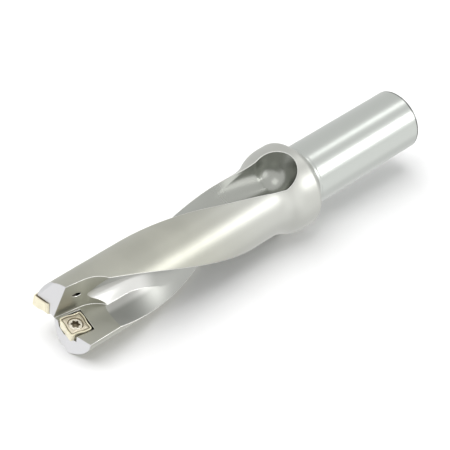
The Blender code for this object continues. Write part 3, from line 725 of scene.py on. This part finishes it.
@dataclass
class Insert:
    """A square insert with wavy edges, a chip groove and a seat for its screw, and its place on the drill."""

    side: Side
    radial_angle: float
    inner: float
    rise: float
    lead: float
    tilt: float
    top: float
    width: float = 0.0089
    thickness: float = 0.0040
    clearance: float = math.radians(9)
    corner: float = 0.0009
    wave: float = 0.00022
    rim: float = 0.0008
    groove_depth: float = 0.0003
    groove_width: float = 0.0004
    edge_land: float = 0.00012
    seat_gap: float = 0.0003
    inner_gap: float = 0.0003
    back_gap: float = 0.0003
    ring_steps: int = 240
    lower_wave: float = 0.7
    groove_start: float = 0.45
    groove_steps: int = 8
    groove_power: float = 1.2
    rim_fade: float = 1.6
    hole_edge: float = 0.00012
    hole_edge_share: float = 0.1

    @property
    def place(self) -> Matrix:
        """The insert's own frame: X out along its front edge, Y back from it, Z out of its rake face."""
        out = Vector((math.cos(self.radial_angle), math.sin(self.radial_angle), 0))
        face = Vector((-math.sin(self.radial_angle), math.cos(self.radial_angle), 0))
        up = Vector((0, 0, 1))
        edge = out * math.cos(self.rise) + up * math.sin(self.rise)
        back = face.cross(edge)
        middle = out * self.inner + up * (self.top + self.lead) + (edge + back) * self.width / 2
        axes = Matrix((edge, back, face)).transposed().to_4x4()
        return Matrix.Translation(middle) @ axes @ Matrix.Rotation(-self.tilt, 4, "X")

    def reach(self, angle: float, inset: float, wave: float) -> float:
        """Returns the distance from the middle to the outline in a direction.

        Args:
            angle: The direction in the insert's own frame.
            inset: How far the outline is drawn in from the widest one.
            wave: Height of the wave along each edge.
        """
        quarter = math.pi / 2
        local = (angle + quarter / 2) % quarter - quarter / 2
        corner = max(self.corner - inset / 2, self.corner / 3)
        half = self.width / 2 - inset
        straight = half / math.cos(local)
        diagonal = (half - corner) * math.sqrt(2)
        along = diagonal * math.cos(quarter / 2 - abs(local))
        aside = diagonal * math.sin(quarter / 2 - abs(local))
        if aside < corner:
            straight = min(straight, along + math.sqrt(corner**2 - aside**2))
        return straight + wave * math.sin(4 * local)

    def ring(self, height: float, inset: float, wave: float) -> Ring:
        """Returns a ring of points along the outline at a height in the insert's own frame."""
        angles = [FULL_TURN * i / self.ring_steps for i in range(self.ring_steps)]
        reaches = [self.reach(a, inset, wave) for a in angles]
        return [Vector((r * math.cos(a), r * math.sin(a), height)) for r, a in zip(reaches, angles)]

    def circle(self, height: float, radius: float) -> Ring:
        """Returns a round ring of points at a height in the insert's own frame."""
        angles = [FULL_TURN * i / self.ring_steps for i in range(self.ring_steps)]
        return [Vector((radius * math.cos(a), radius * math.sin(a), height)) for a in angles]

    def rings(self, screw: "InsertScrew") -> list[tuple[Ring, float]]:
        """Returns its rings from the base up over the rake face and down the hole, each with its rim share.

        Args:
            screw: The screw that its hole takes.
        """
        flank = self.thickness * math.tan(self.clearance)
        groove_start = self.rim * self.groove_start
        groove_end = self.rim + 2 * self.groove_width
        seat = [(radius + screw.gap, height) for radius, height in screw.seat()]
        rings = [
            (self.ring(-self.thickness, flank, 0), 1.0),
            (self.ring(-self.thickness / 3, flank / 3, self.wave * self.lower_wave), 1.0),
            (self.ring(-self.edge_land, self.edge_land / 6, self.wave), 1.0),
            (self.ring(0, self.edge_land, self.wave), 1.0),
            (self.ring(0, groove_start, self.wave), 1.0),
        ]
        for i in range(1, self.groove_steps + 1):
            share = i / self.groove_steps
            depth = self.groove_depth * math.sin(math.pi * share) ** self.groove_power
            inset = groove_start + (groove_end - groove_start) * share
            rim_share = 1.0 - eased(share * self.rim_fade)
            rings.append((self.ring(-depth, inset, self.wave * (1 - share)), rim_share))
        rings.append((self.circle(0, seat[0][0] + self.hole_edge), 0.0))
        rings.append((self.circle(-self.hole_edge, seat[0][0]), self.hole_edge_share))
        rings.extend((self.circle(height, radius), 0.0) for radius, height in seat[1:])
        rings.append((self.circle(-self.thickness, seat[-1][0]), 0.0))
        return rings

    def build(self, screw: "InsertScrew") -> bpy.types.Object:
        """Makes the insert, with its rim share as a point attribute.

        Args:
            screw: The screw that its hole takes.

        Returns:
            The finished piece.
        """
        rings, shares = zip(*self.rings(screw))
        piece = skinned(f"{self.side.value}_insert_finished", list(rings), False, "rim", shares)
        piece.data.transform(self.place)
        smooth(piece, SMALL_PIECE_SHARP_DEGREES)
        return piece

    def seat_cutter(self) -> bpy.types.Object:
        """Makes the cutter of the insert's seat: a square with a gap, its inner wall leaning as the flank."""
        half = self.width / 2 + self.seat_gap
        front = -half - self.width / 2
        flank = self.thickness * math.tan(self.clearance)
        rings = []
        for height, drawn in ((-self.thickness - self.seat_gap, flank), (0, 0), (self.width / 2, 0)):
            corners = ((drawn - half, front), (half, front), (half, half), (drawn - half, half))
            rings.append([self.place @ Vector((*corner, height)) for corner in corners])
        return skinned(f"cut_{self.side.value}_seat", rings, capped=True)

    def relief_cutter(self) -> bpy.types.Object:
        """Makes the cutter of the clearance behind the insert and on its inner side."""
        half = self.width / 2
        low = (-half - self.inner_gap, -half + 2 * self.inner_gap, -self.thickness / 2)
        high = (half + self.seat_gap, half + self.back_gap, half)
        return block(f"cut_{self.side.value}_relief", low, high, self.place)


@dataclass
class InsertScrew:
    """The insert's countersunk screw with a six-lobed recess. Its frame is its insert's.

    The tip and floor sizes are shares of the recess's, and the crest half is a share of the thread's pitch.
    """

    side: Side
    head: float = 0.0052
    head_angle: float = math.radians(60)
    shank: float = 0.0034
    head_rim: float = 0.0007
    length: float = 0.0052
    point: float = 0.0004
    sink: float = 0.0004
    gap: float = 0.0003
    recess_radius: float = 0.00150
    recess_lobe: float = 0.00028
    recess_depth: float = 0.0014
    head_round: float = 0.00035
    thread_pitch: float = 0.0007
    thread_depth: float = 0.0003
    ring_steps: int = 144
    shoulder_steps: int = 6
    tip_radius: float = 0.25
    tip_depth: float = 1.15
    floor_radius: float = 0.94
    wall_top: float = 0.00015
    edge_width: float = 0.0001
    edge_depth: float = 0.00003
    rim_width: float = 0.0002
    crest_half: float = 0.15
    # How much painted shade each ring of the recess gets.
    recess_shade_shares: tuple[float, ...] = (1.0, 1.0, 1.0, 0.4)

    def seat(self) -> list[tuple[float, float]]:
        """Returns (radius, height) pairs of the head's outer edge, its cone's start and its cone's end."""
        cone_start = -self.sink - self.head_rim
        cone = (self.head - self.shank) / 2 / math.tan(self.head_angle / 2)
        return [(self.head / 2, -self.sink), (self.head / 2, cone_start), (self.shank / 2, cone_start - cone)]

    def ring(self, radius: float, height: float, lobe: float = 0.0) -> Ring:
        """Returns a ring of points at a height, round or with six lobes."""
        angles = [FULL_TURN * i / self.ring_steps for i in range(self.ring_steps)]
        reaches = [radius + lobe * math.cos(6 * a) for a in angles]
        return [Vector((r * math.cos(a), r * math.sin(a), height)) for r, a in zip(reaches, angles)]

    def build(self, place: Matrix) -> bpy.types.Object:
        """Makes the screw.

        Args:
            place: The insert's frame.

        Returns:
            The finished piece.
        """
        top = -self.sink
        bottom = top - self.length
        head, cone_start, cone_end = self.seat()
        lobe, radius, depth = self.recess_lobe, self.recess_radius, self.recess_depth
        rings = [
            self.ring(radius * self.tip_radius, top - depth * self.tip_depth, 0),
            self.ring(radius * self.floor_radius, top - depth, lobe),
            self.ring(radius, top - self.wall_top, lobe),
            self.ring(radius + self.edge_width, top - self.edge_depth, lobe),
            self.ring(radius + self.rim_width, top, lobe / 2),
        ]
        bend = self.head_round
        shoulder = arc((head[0] - bend, top - bend), bend, math.pi / 2, 0, self.shoulder_steps)
        rings.extend(self.ring(radius, height) for radius, height in shoulder)
        rings.append(self.ring(*cone_start))
        rings.append(self.ring(*cone_end))
        turns = int((cone_end[1] - bottom - self.point) / self.thread_pitch)
        for i in range(turns):
            crest = cone_end[1] - (i + 0.5) * self.thread_pitch
            for side in (1, -1):
                height = crest + side * self.thread_pitch * self.crest_half
                rings.append(self.ring(self.shank / 2, height))
            rings.append(self.ring(self.shank / 2 - self.thread_depth, crest - self.thread_pitch / 2))
        rings.append(self.ring(self.shank / 2, bottom + self.point))
        rings.append(self.ring(self.shank / 2 - self.point, bottom))
        name = f"{self.side.value}_insert_screw_finished"
        piece = skinned(name, rings, True, "recess", self.recess_shade_shares)
        piece.data.transform(place)
        smooth(piece, SMALL_PIECE_SHARP_DEGREES)
        return piece

    def thread_cutter(self, place: Matrix) -> bpy.types.Object:
        """Makes the cutter of the hole under the insert, in the insert's frame place."""
        bottom = place @ Vector((0, 0, -self.sink - self.length - self.gap))
        return hole(f"cut_{self.side.value}_thread", place.translation, bottom, self.shank + 2 * self.gap)


@dataclass
class DrillBody:
    """The one-piece steel body: shank, collar and fluted part with pockets, seats and coolant passages."""

    shank_radius: float = 0.0125
    shank_length: float = 0.0560
    end_chamfer: float = 0.0010
    neck_length: float = 0.0014
    neck_depth: float = 0.0002
    collar_radius: float = 0.0176
    collar_bevel: float = 0.0046
    collar_edge: float = 0.0030
    collar_width: float = 0.0050
    collar_blend: float = 0.0145
    radius: float = 0.0141
    top: float = 0.1784
    turned_steps: int = 288
    length_steps: int = 36
    pocket_steps: int = 40
    helix: Helix = Helix()
    widening: float = 0.0300
    deep_start: float = 0.0530
    deep_full: float = 0.0300
    closed_start: float = 0.0214
    floor_drop: float = 0.0010
    central_wall: float = 0.0035
    central_wall_tilt: float = math.radians(8.5)
    central_wall_length: float = 0.0120
    central_end_radius: float = 0.0130
    peripheral_wall: float = 0.0041
    web_bevel: float = 0.0025
    channel: float = 0.0018
    channel_offset: float = 0.0075
    channel_lag: float = math.radians(86)
    channel_start: float = 0.0720
    channel_end: float = 0.0150
    outlet_reach: float = 0.0070
    outlet_setback: float = 0.0098
    inlet: float = 0.0080
    flat_depth: float = 0.0010
    flat_length: float = 0.0320
    flat_start: float = 0.0120
    face_tilt: float = math.radians(15)
    upper_setback: float = 0.0011
    outer_turn: float = math.radians(-14)
    corner_turn: float = math.radians(139)
    corner_tilt: float = math.radians(44)
    corner_reach: float = 0.0128
    corner_setback: float = 0.0033
    inner_turn: float = math.radians(-143)
    inner_tilt: float = math.radians(16.6)
    web_tilt: float = math.radians(29.7)
    meeting_side: float = 0.0026
    meeting_setback: float = 0.00235
    thread_exit: float = 0.0026
    thread_exit_shift: float = 0.0028
    thread_exit_depth: float = 0.0115
    runout: FluteSection = FluteSection(
        leading=math.radians(36),
        heel=math.radians(36),
        root_offset=0.0124,
        root_turn=0.0,
        root_radius=0.0083,
    )
    usual: FluteSection = FluteSection(
        leading=math.radians(44.5),
        heel=math.radians(38.5),
        root_offset=0.0124,
        root_turn=math.radians(-3),
        root_radius=0.0083,
    )
    deep: FluteSection = FluteSection(
        leading=math.radians(46.9),
        heel=math.radians(38.5),
        root_offset=0.00635,
        root_turn=math.radians(1.8),
        root_radius=0.0052,
        crest=math.radians(12.5),
        step=0.00025,
        flat=0.62,
    )
    closed: FluteSection = FluteSection(
        leading=math.radians(46.9),
        heel=math.radians(18.5),
        root_offset=0.0065,
        root_turn=math.radians(-37),
        root_radius=0.0016,
    )

    @property
    def wide(self) -> float:
        """A size that reaches well past the body from its axis."""
        return self.collar_radius * 2.5

    def profile(self) -> list[tuple[float, float]]:
        """Returns the (radius, height) points of the turned outline, from the shank's end up to the tip."""
        bevel_start = self.shank_length + self.neck_length
        collar_start = bevel_start + self.collar_bevel
        collar_end = collar_start + self.collar_width
        slope = math.atan2(self.collar_radius - self.shank_radius, self.collar_bevel)
        setback = self.collar_edge * math.tan(slope / 2)
        edge_middle = (self.collar_radius - self.collar_edge, collar_start + setback)
        drop = self.collar_radius - self.radius
        half = self.collar_blend / 2
        bend = (half**2 + (drop / 2) ** 2) / drop
        sweep = math.asin(half / bend)
        crown = arc((self.collar_radius - bend, collar_end), bend, 0, sweep, 16)
        hollow = arc((self.radius + bend, collar_end + self.collar_blend), bend, math.pi + sweep, math.pi, 16)
        neck = self.shank_radius - self.neck_depth
        straight = self.top - hollow[-1][1]
        rings = [hollow[-1][1] + straight * (i + 1) / self.length_steps for i in range(self.length_steps)]
        return [
            (0, 0),
            (self.shank_radius - self.end_chamfer, 0),
            (self.shank_radius, self.end_chamfer),
            (self.shank_radius, self.shank_length),
            (neck, self.shank_length + self.neck_depth),
            (neck, bevel_start - self.neck_depth),
            (self.shank_radius, bevel_start),
            *arc(edge_middle, self.collar_edge, -slope, 0, 12),
            *crown,
            *hollow[1:],
            *[(self.radius, height) for height in rings],
            (0, self.top),
        ]

    def blank(self) -> bpy.types.Object:
        """Makes the turned body before it is milled."""
        bm = bmesh.new()
        edges = chain(bm, [(r, 0, z) for r, z in self.profile()])
        bmesh.ops.spin(
            bm,
            geom=edges,
            cent=(0, 0, 0),
            axis=(0, 0, 1),
            angle=FULL_TURN,
            steps=self.turned_steps,
            use_merge=True,
        )
        return link("turned_blank", bm)

    def section_at(self, side: Side, z: float) -> Section:
        """Returns the outline of one side's flute at height z."""
        widened = self.runout.toward(self.usual, eased((z - self.helix.low) / self.widening), self.radius)
        if side is Side.CENTRAL:
            share = eased((z - self.top + self.deep_start) / (self.deep_start - self.deep_full))
            target = self.deep
        else:
            start = self.top - self.closed_start
            share = eased((z - start) / (self.helix.high - start))
            target = self.closed
        return [a.lerp(b, share) for a, b in zip(widened, target.outline(self.radius))]

    def flute_cutter(self, side: Side) -> bpy.types.Object:
        """Makes the cutter of one side's flute, from its round end at the collar up to the front."""
        turn = 0.0 if side is Side.CENTRAL else math.pi
        low = self.helix.low
        bm = bmesh.new()
        rings = []
        for z in self.helix.heights(low, self.helix.high):
            place = self.helix.place(z, turn)
            rings.append([place @ Vector((*point, 0)) for point in self.section_at(side, z)])
        loops = joined(bm, rings)
        bm.faces.new(loops[-1])
        before = set(bm.verts)
        half = chain(bm, [(*point, 0) for point in self.runout.half(self.radius)])
        bmesh.ops.spin(bm, geom=half, cent=(0, 0, 0), axis=(1, 0, 0), angle=-math.pi, steps=48)
        end = [vert for vert in bm.verts if vert not in before]
        bmesh.ops.transform(bm, matrix=self.helix.place(low, turn), verts=end)
        return link(f"cut_{side.value}_flute", bm)

    def wall_at(self, setback: float) -> float:
        """Returns how far the central pocket's wall is past the axis, at a setback under the tip."""
        return self.central_wall - setback * math.tan(self.central_wall_tilt)

    def pocket_cutters(self, peripheral_angle: float) -> list[bpy.types.Object]:
        """Makes the cutters of the two straight chip pockets.

        Args:
            peripheral_angle: The direction of the peripheral insert's cutting edge.
        """
        above = self.top + self.wide
        radius, tilt = self.central_end_radius, self.central_wall_tilt
        middle = (
            radius * math.cos(tilt) - self.wall_at(self.central_wall_length),
            self.top - self.central_wall_length + radius * math.sin(tilt),
        )
        bend = arc(middle, radius, math.pi + tilt, 1.5 * math.pi, self.pocket_steps)
        central = [
            (-self.wall_at(-self.wide), above),
            *bend,
            (2 * self.wide, bend[-1][1]),
            (2 * self.wide, above),
        ]
        upright = Matrix.Rotation(math.pi / 2, 4, "X")
        turn = peripheral_angle - math.pi
        out = Vector((-math.cos(turn), -math.sin(turn)))
        face = Vector((math.sin(turn), -math.cos(turn)))
        start = -face * self.floor_drop
        wall = -self.peripheral_wall
        bevel = start + out * ((wall - self.web_bevel - start.x) / out.x)
        peripheral = [
            bevel,
            (wall, bevel.y - self.web_bevel),
            (wall, -2 * self.wide),
            (-2 * self.wide, -2 * self.wide),
            start + out * 2 * self.wide,
        ]
        floor = self.top - self.closed_start
        return [
            prism("cut_central_pocket", central, -2 * self.wide, self.floor_drop, upright),
            prism("cut_peripheral_pocket", peripheral, floor, above, Matrix.Identity(4)),
        ]

    def front_cutters(self) -> list[bpy.types.Object]:
        """Makes the cutters of the ground front faces of both lobes and of the web between them."""
        wide = 2 * self.wide
        top = Vector((0, 0, self.top))
        fall = Vector((math.cos(self.corner_turn), math.sin(self.corner_turn), 0))
        corner = top + self.corner_reach * fall - Vector((0, 0, self.corner_setback))
        upper = top - Vector((0, 0, self.upper_setback))
        upper_frame = leaning_frame(math.pi / 2, self.face_tilt, upper)
        corner_frame = leaning_frame(self.corner_turn, self.corner_tilt, corner)
        outer_frame = leaning_frame(self.outer_turn, self.face_tilt, top)
        meeting = top + Vector((-self.peripheral_wall, -self.meeting_side, -self.meeting_setback))
        inner = leaning(self.inner_turn, self.inner_tilt)
        web = leaning(-math.pi / 2, self.web_tilt)
        return [
            block("cut_upper_face", (-self.floor_drop, -wide, 0), (wide, wide, wide), upper_frame),
            block("cut_upper_corner", (-self.wide / 4, -wide, 0), (wide, wide, wide), corner_frame),
            block("cut_outer_face", (-wide, -wide, 0), (wide, wide, wide), outer_frame),
            wedge_over("cut_inner_faces", meeting, inner, web, wide),
        ]

    def coolant_cutters(self) -> list[bpy.types.Object]:
        """Makes the cutters of the coolant inlet and of each land's branch, twisted channel and outlet."""
        cutters = [hole("cut_inlet", (0, 0, -self.end_chamfer), (0, 0, self.shank_length), self.inlet, 96)]
        fork = Vector((0, 0, self.shank_length - self.channel))
        end = self.top - self.channel_end
        walls = {
            Side.CENTRAL: (0.0, -self.wall_at(self.outlet_setback), self.outlet_reach),
            Side.PERIPHERAL: (math.pi, -self.peripheral_wall, -self.outlet_reach),
        }
        for side, (half_turn, exit_x, exit_y) in walls.items():
            turn = half_turn + self.channel_lag
            land = Matrix.Rotation(turn, 4, "Z") @ Vector((self.channel_offset, 0, 0))
            circle = arc((self.channel_offset, 0), self.channel / 2, 0, FULL_TURN, 32)[:-1]
            rings = [
                [self.helix.place(z, turn) @ Vector((*point, 0)) for point in circle]
                for z in self.helix.heights(self.channel_start, end)
            ]
            cutters.append(skinned(f"cut_{side.value}_channel", rings, capped=True))
            joint = self.helix.place(self.channel_start + self.channel) @ land
            cutters.append(hole(f"cut_{side.value}_branch", fork, joint, self.channel, 32))
            elbow = self.helix.place(end - self.channel) @ land
            way_out = Vector((exit_x, exit_y, self.top - self.outlet_setback))
            over = (way_out - elbow).normalized() * self.channel
            cutters.append(hole(f"cut_{side.value}_outlet", elbow, way_out + over, self.channel, 32))
        return cutters

    def flat_cutter(self) -> bpy.types.Object:
        """Makes the cutter of the clamping flat on the back of the shank."""
        low = (-self.shank_radius, -2 * self.shank_radius, self.flat_start)
        high = (self.shank_radius, self.flat_depth - self.shank_radius, self.flat_start + self.flat_length)
        return block("cut_clamping_flat", low, high, Matrix.Identity(4))

    def build(self, inserts: Sequence[Insert], screws: Sequence[InsertScrew]) -> bpy.types.Object:
        """Makes the whole body.

        Args:
            inserts: The inserts whose seats are cut.
            screws: Their screws, in the same order.

        Returns:
            The finished piece.
        """
        blank = self.blank()
        tag(blank, [Cut.TURNED])
        outer = inserts[1]
        exit_start = outer.place @ Vector((0, 0, -screws[1].length))
        exit_end = outer.place @ Vector((0, self.thread_exit_shift, -self.thread_exit_depth))
        fluted = [self.flute_cutter(side) for side in Side]
        milled = [*self.pocket_cutters(outer.radial_angle), self.flat_cutter()]
        shaded_recess = self.coolant_cutters()
        shaded_recess.append(hole("cut_thread_exit", exit_start, exit_end, self.thread_exit))
        for insert, screw in zip(inserts, screws):
            milled.append(insert.seat_cutter())
            shaded_recess.append(screw.thread_cutter(insert.place))
        # The clearance beside the central insert is cut with the holes, so that it takes their painted shade.
        shaded_recess.append(inserts[0].relief_cutter())
        cuts = {Cut.FLUTED: fluted, Cut.MILLED: milled, Cut.FRONT: self.front_cutters(), Cut.SHADED_RECESS: shaded_recess}
        for cut, cutters in cuts.items():
            for cutter in cutters:
                tag(cutter, [cut])
            cut_away(blank, cutters)
        body = baked(blank, "drill_body_finished")
        for cutter in [cutter for cutters in cuts.values() for cutter in cutters]:
            bpy.data.objects.remove(cutter)
        tags_to_attributes(body)
        smooth(body, BODY_SHARP_DEGREES)
        return body


# The studio


@dataclass(frozen=True)
class Lamp:
    """A soft lamp of the studio, placed by its direction from the drill's middle.

    A mirrored lamp shows in the steel and leaves the floor alone. The other kind lights matt surfaces only.
    """

    name: str
    azimuth: float
    elevation: float
    distance: float
    width: float
    height: float
    radiance: float
    mirrored: bool = True

    def build(self, aim: Vector) -> None:
        """Makes the lamp, turned to the point aim."""
        azimuth, elevation = math.radians(self.azimuth), math.radians(self.elevation)
        way = Vector(
            (
                math.cos(azimuth) * math.cos(elevation),
                math.sin(azimuth) * math.cos(elevation),
                math.sin(elevation),
            )
        )
        light = bpy.data.lights.new(self.name, "AREA")
        light.shape = "RECTANGLE"
        light.size = self.width
        light.size_y = self.height
        light.energy = self.radiance * math.pi * self.width * self.height
        lamp = bpy.data.objects.new(self.name, light)
        lamp.location = aim + way * self.distance
        lamp.rotation_mode = "QUATERNION"
        lamp.rotation_quaternion = way.to_track_quat("Z", "Y")
        lamp.visible_camera = False
        lamp.visible_glossy = self.mirrored
        lamp.visible_diffuse = not self.mirrored
        bpy.context.scene.collection.objects.link(lamp)


@dataclass
class Studio:
    """The plain pale studio: floor, backdrop, world, lamps and camera."""

    aim: Vector = field(default_factory=lambda: Vector((0, 0, 0.09)))
    backdrop_turn: float = math.radians(101.3)
    collar_touch: tuple[float, float] = (0.0176, 0.065)
    body_touch: tuple[float, float] = (0.0141, 0.172)
    reach: float = 6.0
    floor_drop: float = 0.0700
    floor_glow: float = 0.52
    white: float = 0.92
    fill: float = 0.50
    lens: float = 144.0
    sensor_width: float = 36.0
    camera_location: tuple[float, float, float] = (0.28861, 0.49814, 0.45965)
    camera_rotation: tuple[float, float, float, float] = (0.8480, -0.3453, 0.3381, 0.2177)
    lamps: tuple[Lamp, ...] = (
        Lamp("main_softbox", 39.5, -38, 1.4, 0.45, 1.0, 4.2),
        Lamp("side_softbox", -16, -26, 1.5, 1.1, 1.5, 0.34),
        Lamp("upper_softbox", 22, 6, 1.5, 1.5, 0.8, 0.75),
        Lamp("narrow_strip", 99, -45, 0.36, 0.05, 0.16, 2.4),
        Lamp("front_softbox", 230, 36, 1.6, 1.6, 1.2, 0.4),
        Lamp("overhead", 100, 30, 1.8, 0.9, 0.9, 0.8),
        Lamp("table_light", 120, 4, 2.0, 2.8, 2.2, 2.45, mirrored=False),
    )

    def world(self) -> None:
        """Makes the world: white to the camera and in reflections, a soft grey fill for everything else."""
        world = bpy.data.worlds.new("studio_world")
        world.use_nodes = True
        tree = world.node_tree
        background = tree.nodes["Background"]
        background.inputs["Color"].default_value = (1, 1, 1, 1)
        path = node(tree, "ShaderNodeLightPath")
        seen = maths(tree, "MAXIMUM", path.outputs["Is Camera Ray"], path.outputs["Is Glossy Ray"])
        seen = maths(tree, "MAXIMUM", seen, path.outputs["Is Transmission Ray"])
        strength = maths(tree, "ADD", maths(tree, "MULTIPLY", seen, 1 - self.fill), self.fill)
        tree.links.new(strength, background.inputs["Strength"])
        bpy.context.scene.world = world

    def pale(self, name: str, glow: float, one_sided: bool) -> bpy.types.Material:
        """Makes the matt white of the floor and backdrop.

        Args:
            name: The material's name.
            glow: Strength of its own light, which the camera alone sees.
            one_sided: True where it is seen through from behind.
        """
        made = bpy.data.materials.new(name)
        made.use_nodes = True
        tree = made.node_tree
        tree.nodes.clear()
        output = node(tree, "ShaderNodeOutputMaterial")
        matt = node(tree, "ShaderNodeBsdfDiffuse")
        matt.inputs["Color"].default_value = (self.white, self.white, self.white, 1)
        shown = matt.outputs[0]
        if glow:
            light = node(tree, "ShaderNodeEmission")
            path = node(tree, "ShaderNodeLightPath")
            strength = maths(tree, "MULTIPLY", path.outputs["Is Camera Ray"], glow)
            tree.links.new(strength, light.inputs["Strength"])
            both = node(tree, "ShaderNodeAddShader")
            tree.links.new(shown, both.inputs[0])
            tree.links.new(light.outputs[0], both.inputs[1])
            shown = both.outputs[0]
        if one_sided:
            clear = node(tree, "ShaderNodeBsdfTransparent")
            side = node(tree, "ShaderNodeNewGeometry")
            choice = node(tree, "ShaderNodeMixShader")
            tree.links.new(side.outputs["Backfacing"], choice.inputs["Fac"])
            tree.links.new(shown, choice.inputs[1])
            tree.links.new(clear.outputs[0], choice.inputs[2])
            shown = choice.outputs[0]
        tree.links.new(shown, output.inputs["Surface"])
        return made

    def sheet(self, name: str, place: Matrix, finish: bpy.types.Material) -> None:
        """Makes a large flat sheet that belongs to the studio and throws no shade on the drill."""
        bm = bmesh.new()
        bmesh.ops.create_grid(bm, x_segments=1, y_segments=1, size=self.reach / 2, matrix=place)
        made = link(name, bm, closed=False)
        made.data.materials.append(finish)
        made.visible_glossy = False
        made.visible_shadow = False

    def backdrop_place(self) -> Matrix:
        """Returns the frame of the backdrop, which touches the collar and the body from behind."""
        out = Vector((math.cos(self.backdrop_turn), math.sin(self.backdrop_turn), 0))
        low = Vector((0, 0, self.collar_touch[1])) - out * self.collar_touch[0]
        high = Vector((0, 0, self.body_touch[1])) - out * self.body_touch[0]
        along = (high - low).normalized()
        across = out.cross(along).normalized()
        normal = along.cross(across) if along.cross(across).dot(out) > 0 else across.cross(along)
        axes = Matrix((across, normal.cross(across), normal)).transposed().to_4x4()
        return Matrix.Translation(low) @ axes

    def camera(self) -> None:
        """Makes the camera at the photograph's viewing angle."""
        data = bpy.data.cameras.new("camera")
        data.lens = self.lens
        data.sensor_width = self.sensor_width
        camera = bpy.data.objects.new("camera", data)
        camera.location = self.camera_location
        camera.rotation_mode = "QUATERNION"
        camera.rotation_quaternion = Quaternion(self.camera_rotation).normalized()
        bpy.context.scene.collection.objects.link(camera)
        bpy.context.scene.camera = camera

    def build(self) -> None:
        """Makes the whole studio."""
        self.world()
        for lamp in self.lamps:
            lamp.build(self.aim)
        floor = Matrix.Translation((0, 0, -self.floor_drop))
        self.sheet("floor", floor, self.pale("pale_floor", self.floor_glow, one_sided=False))
        self.sheet("backdrop", self.backdrop_place(), self.pale("pale_backdrop", 0.0, one_sided=True))
        self.camera()
        bpy.context.scene.view_settings.view_transform = "Standard"


def corners(box: tuple[Vector, Vector]) -> list[list[float]]:
    """Returns a box's two corners as plain lists of numbers."""
    return [list(corner) for corner in box]


def dress(piece: bpy.types.Object, finish: bpy.types.Material, replaced: str) -> None:
    """Gives a finished piece its finish and its place in the frame.

    Args:
        piece: The finished piece.
        finish: Its material.
        replaced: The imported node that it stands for.
    """
    piece.data.materials.clear()
    piece.data.materials.append(finish)
    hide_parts(replaced)
    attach(piece, "root")
    log.info("%s stands for %s, %d faces", piece.name, replaced, len(piece.data.polygons))


def main() -> None:
    """Builds the drill piece by piece, then the studio."""
    logging.basicConfig(level=logging.INFO, format="%(name)s: %(message)s")
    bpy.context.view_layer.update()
    body = DrillBody()
    cutting_radius = 0.0145
    rise = math.radians(4)
    central = Insert(
        side=Side.CENTRAL,
        radial_angle=0.0,
        inner=-0.00135,
        rise=math.radians(9.3),
        lead=-0.0016,
        tilt=math.radians(4),
        top=body.top,
        inner_gap=0.0010,
        back_gap=0.0008,
    )
    peripheral = Insert(
        side=Side.PERIPHERAL,
        radial_angle=math.radians(191),
        inner=cutting_radius - Insert.width * math.cos(rise),
        rise=rise,
        lead=-0.0005,
        tilt=0.0,
        top=body.top,
        seat_gap=0.0001,
    )
    inserts = (central, peripheral)
    screws = (InsertScrew(Side.CENTRAL), InsertScrew(Side.PERIPHERAL))
    steel = SteelFinish().build(GrindingMarks().build(), BrokenEdges().build())
    coating = CoatingFinish().build()
    screw_steel = ScrewFinish().build()
    dress(body.build(inserts, screws), steel, "drill_body")
    for insert, screw in zip(inserts, screws):
        side = insert.side.value
        dress(insert.build(screw), coating, f"{side}_insert")
        dress(screw.build(insert.place), screw_steel, f"{side}_insert_screw")
    Studio().build()


if __name__ == "__main__":
    main()
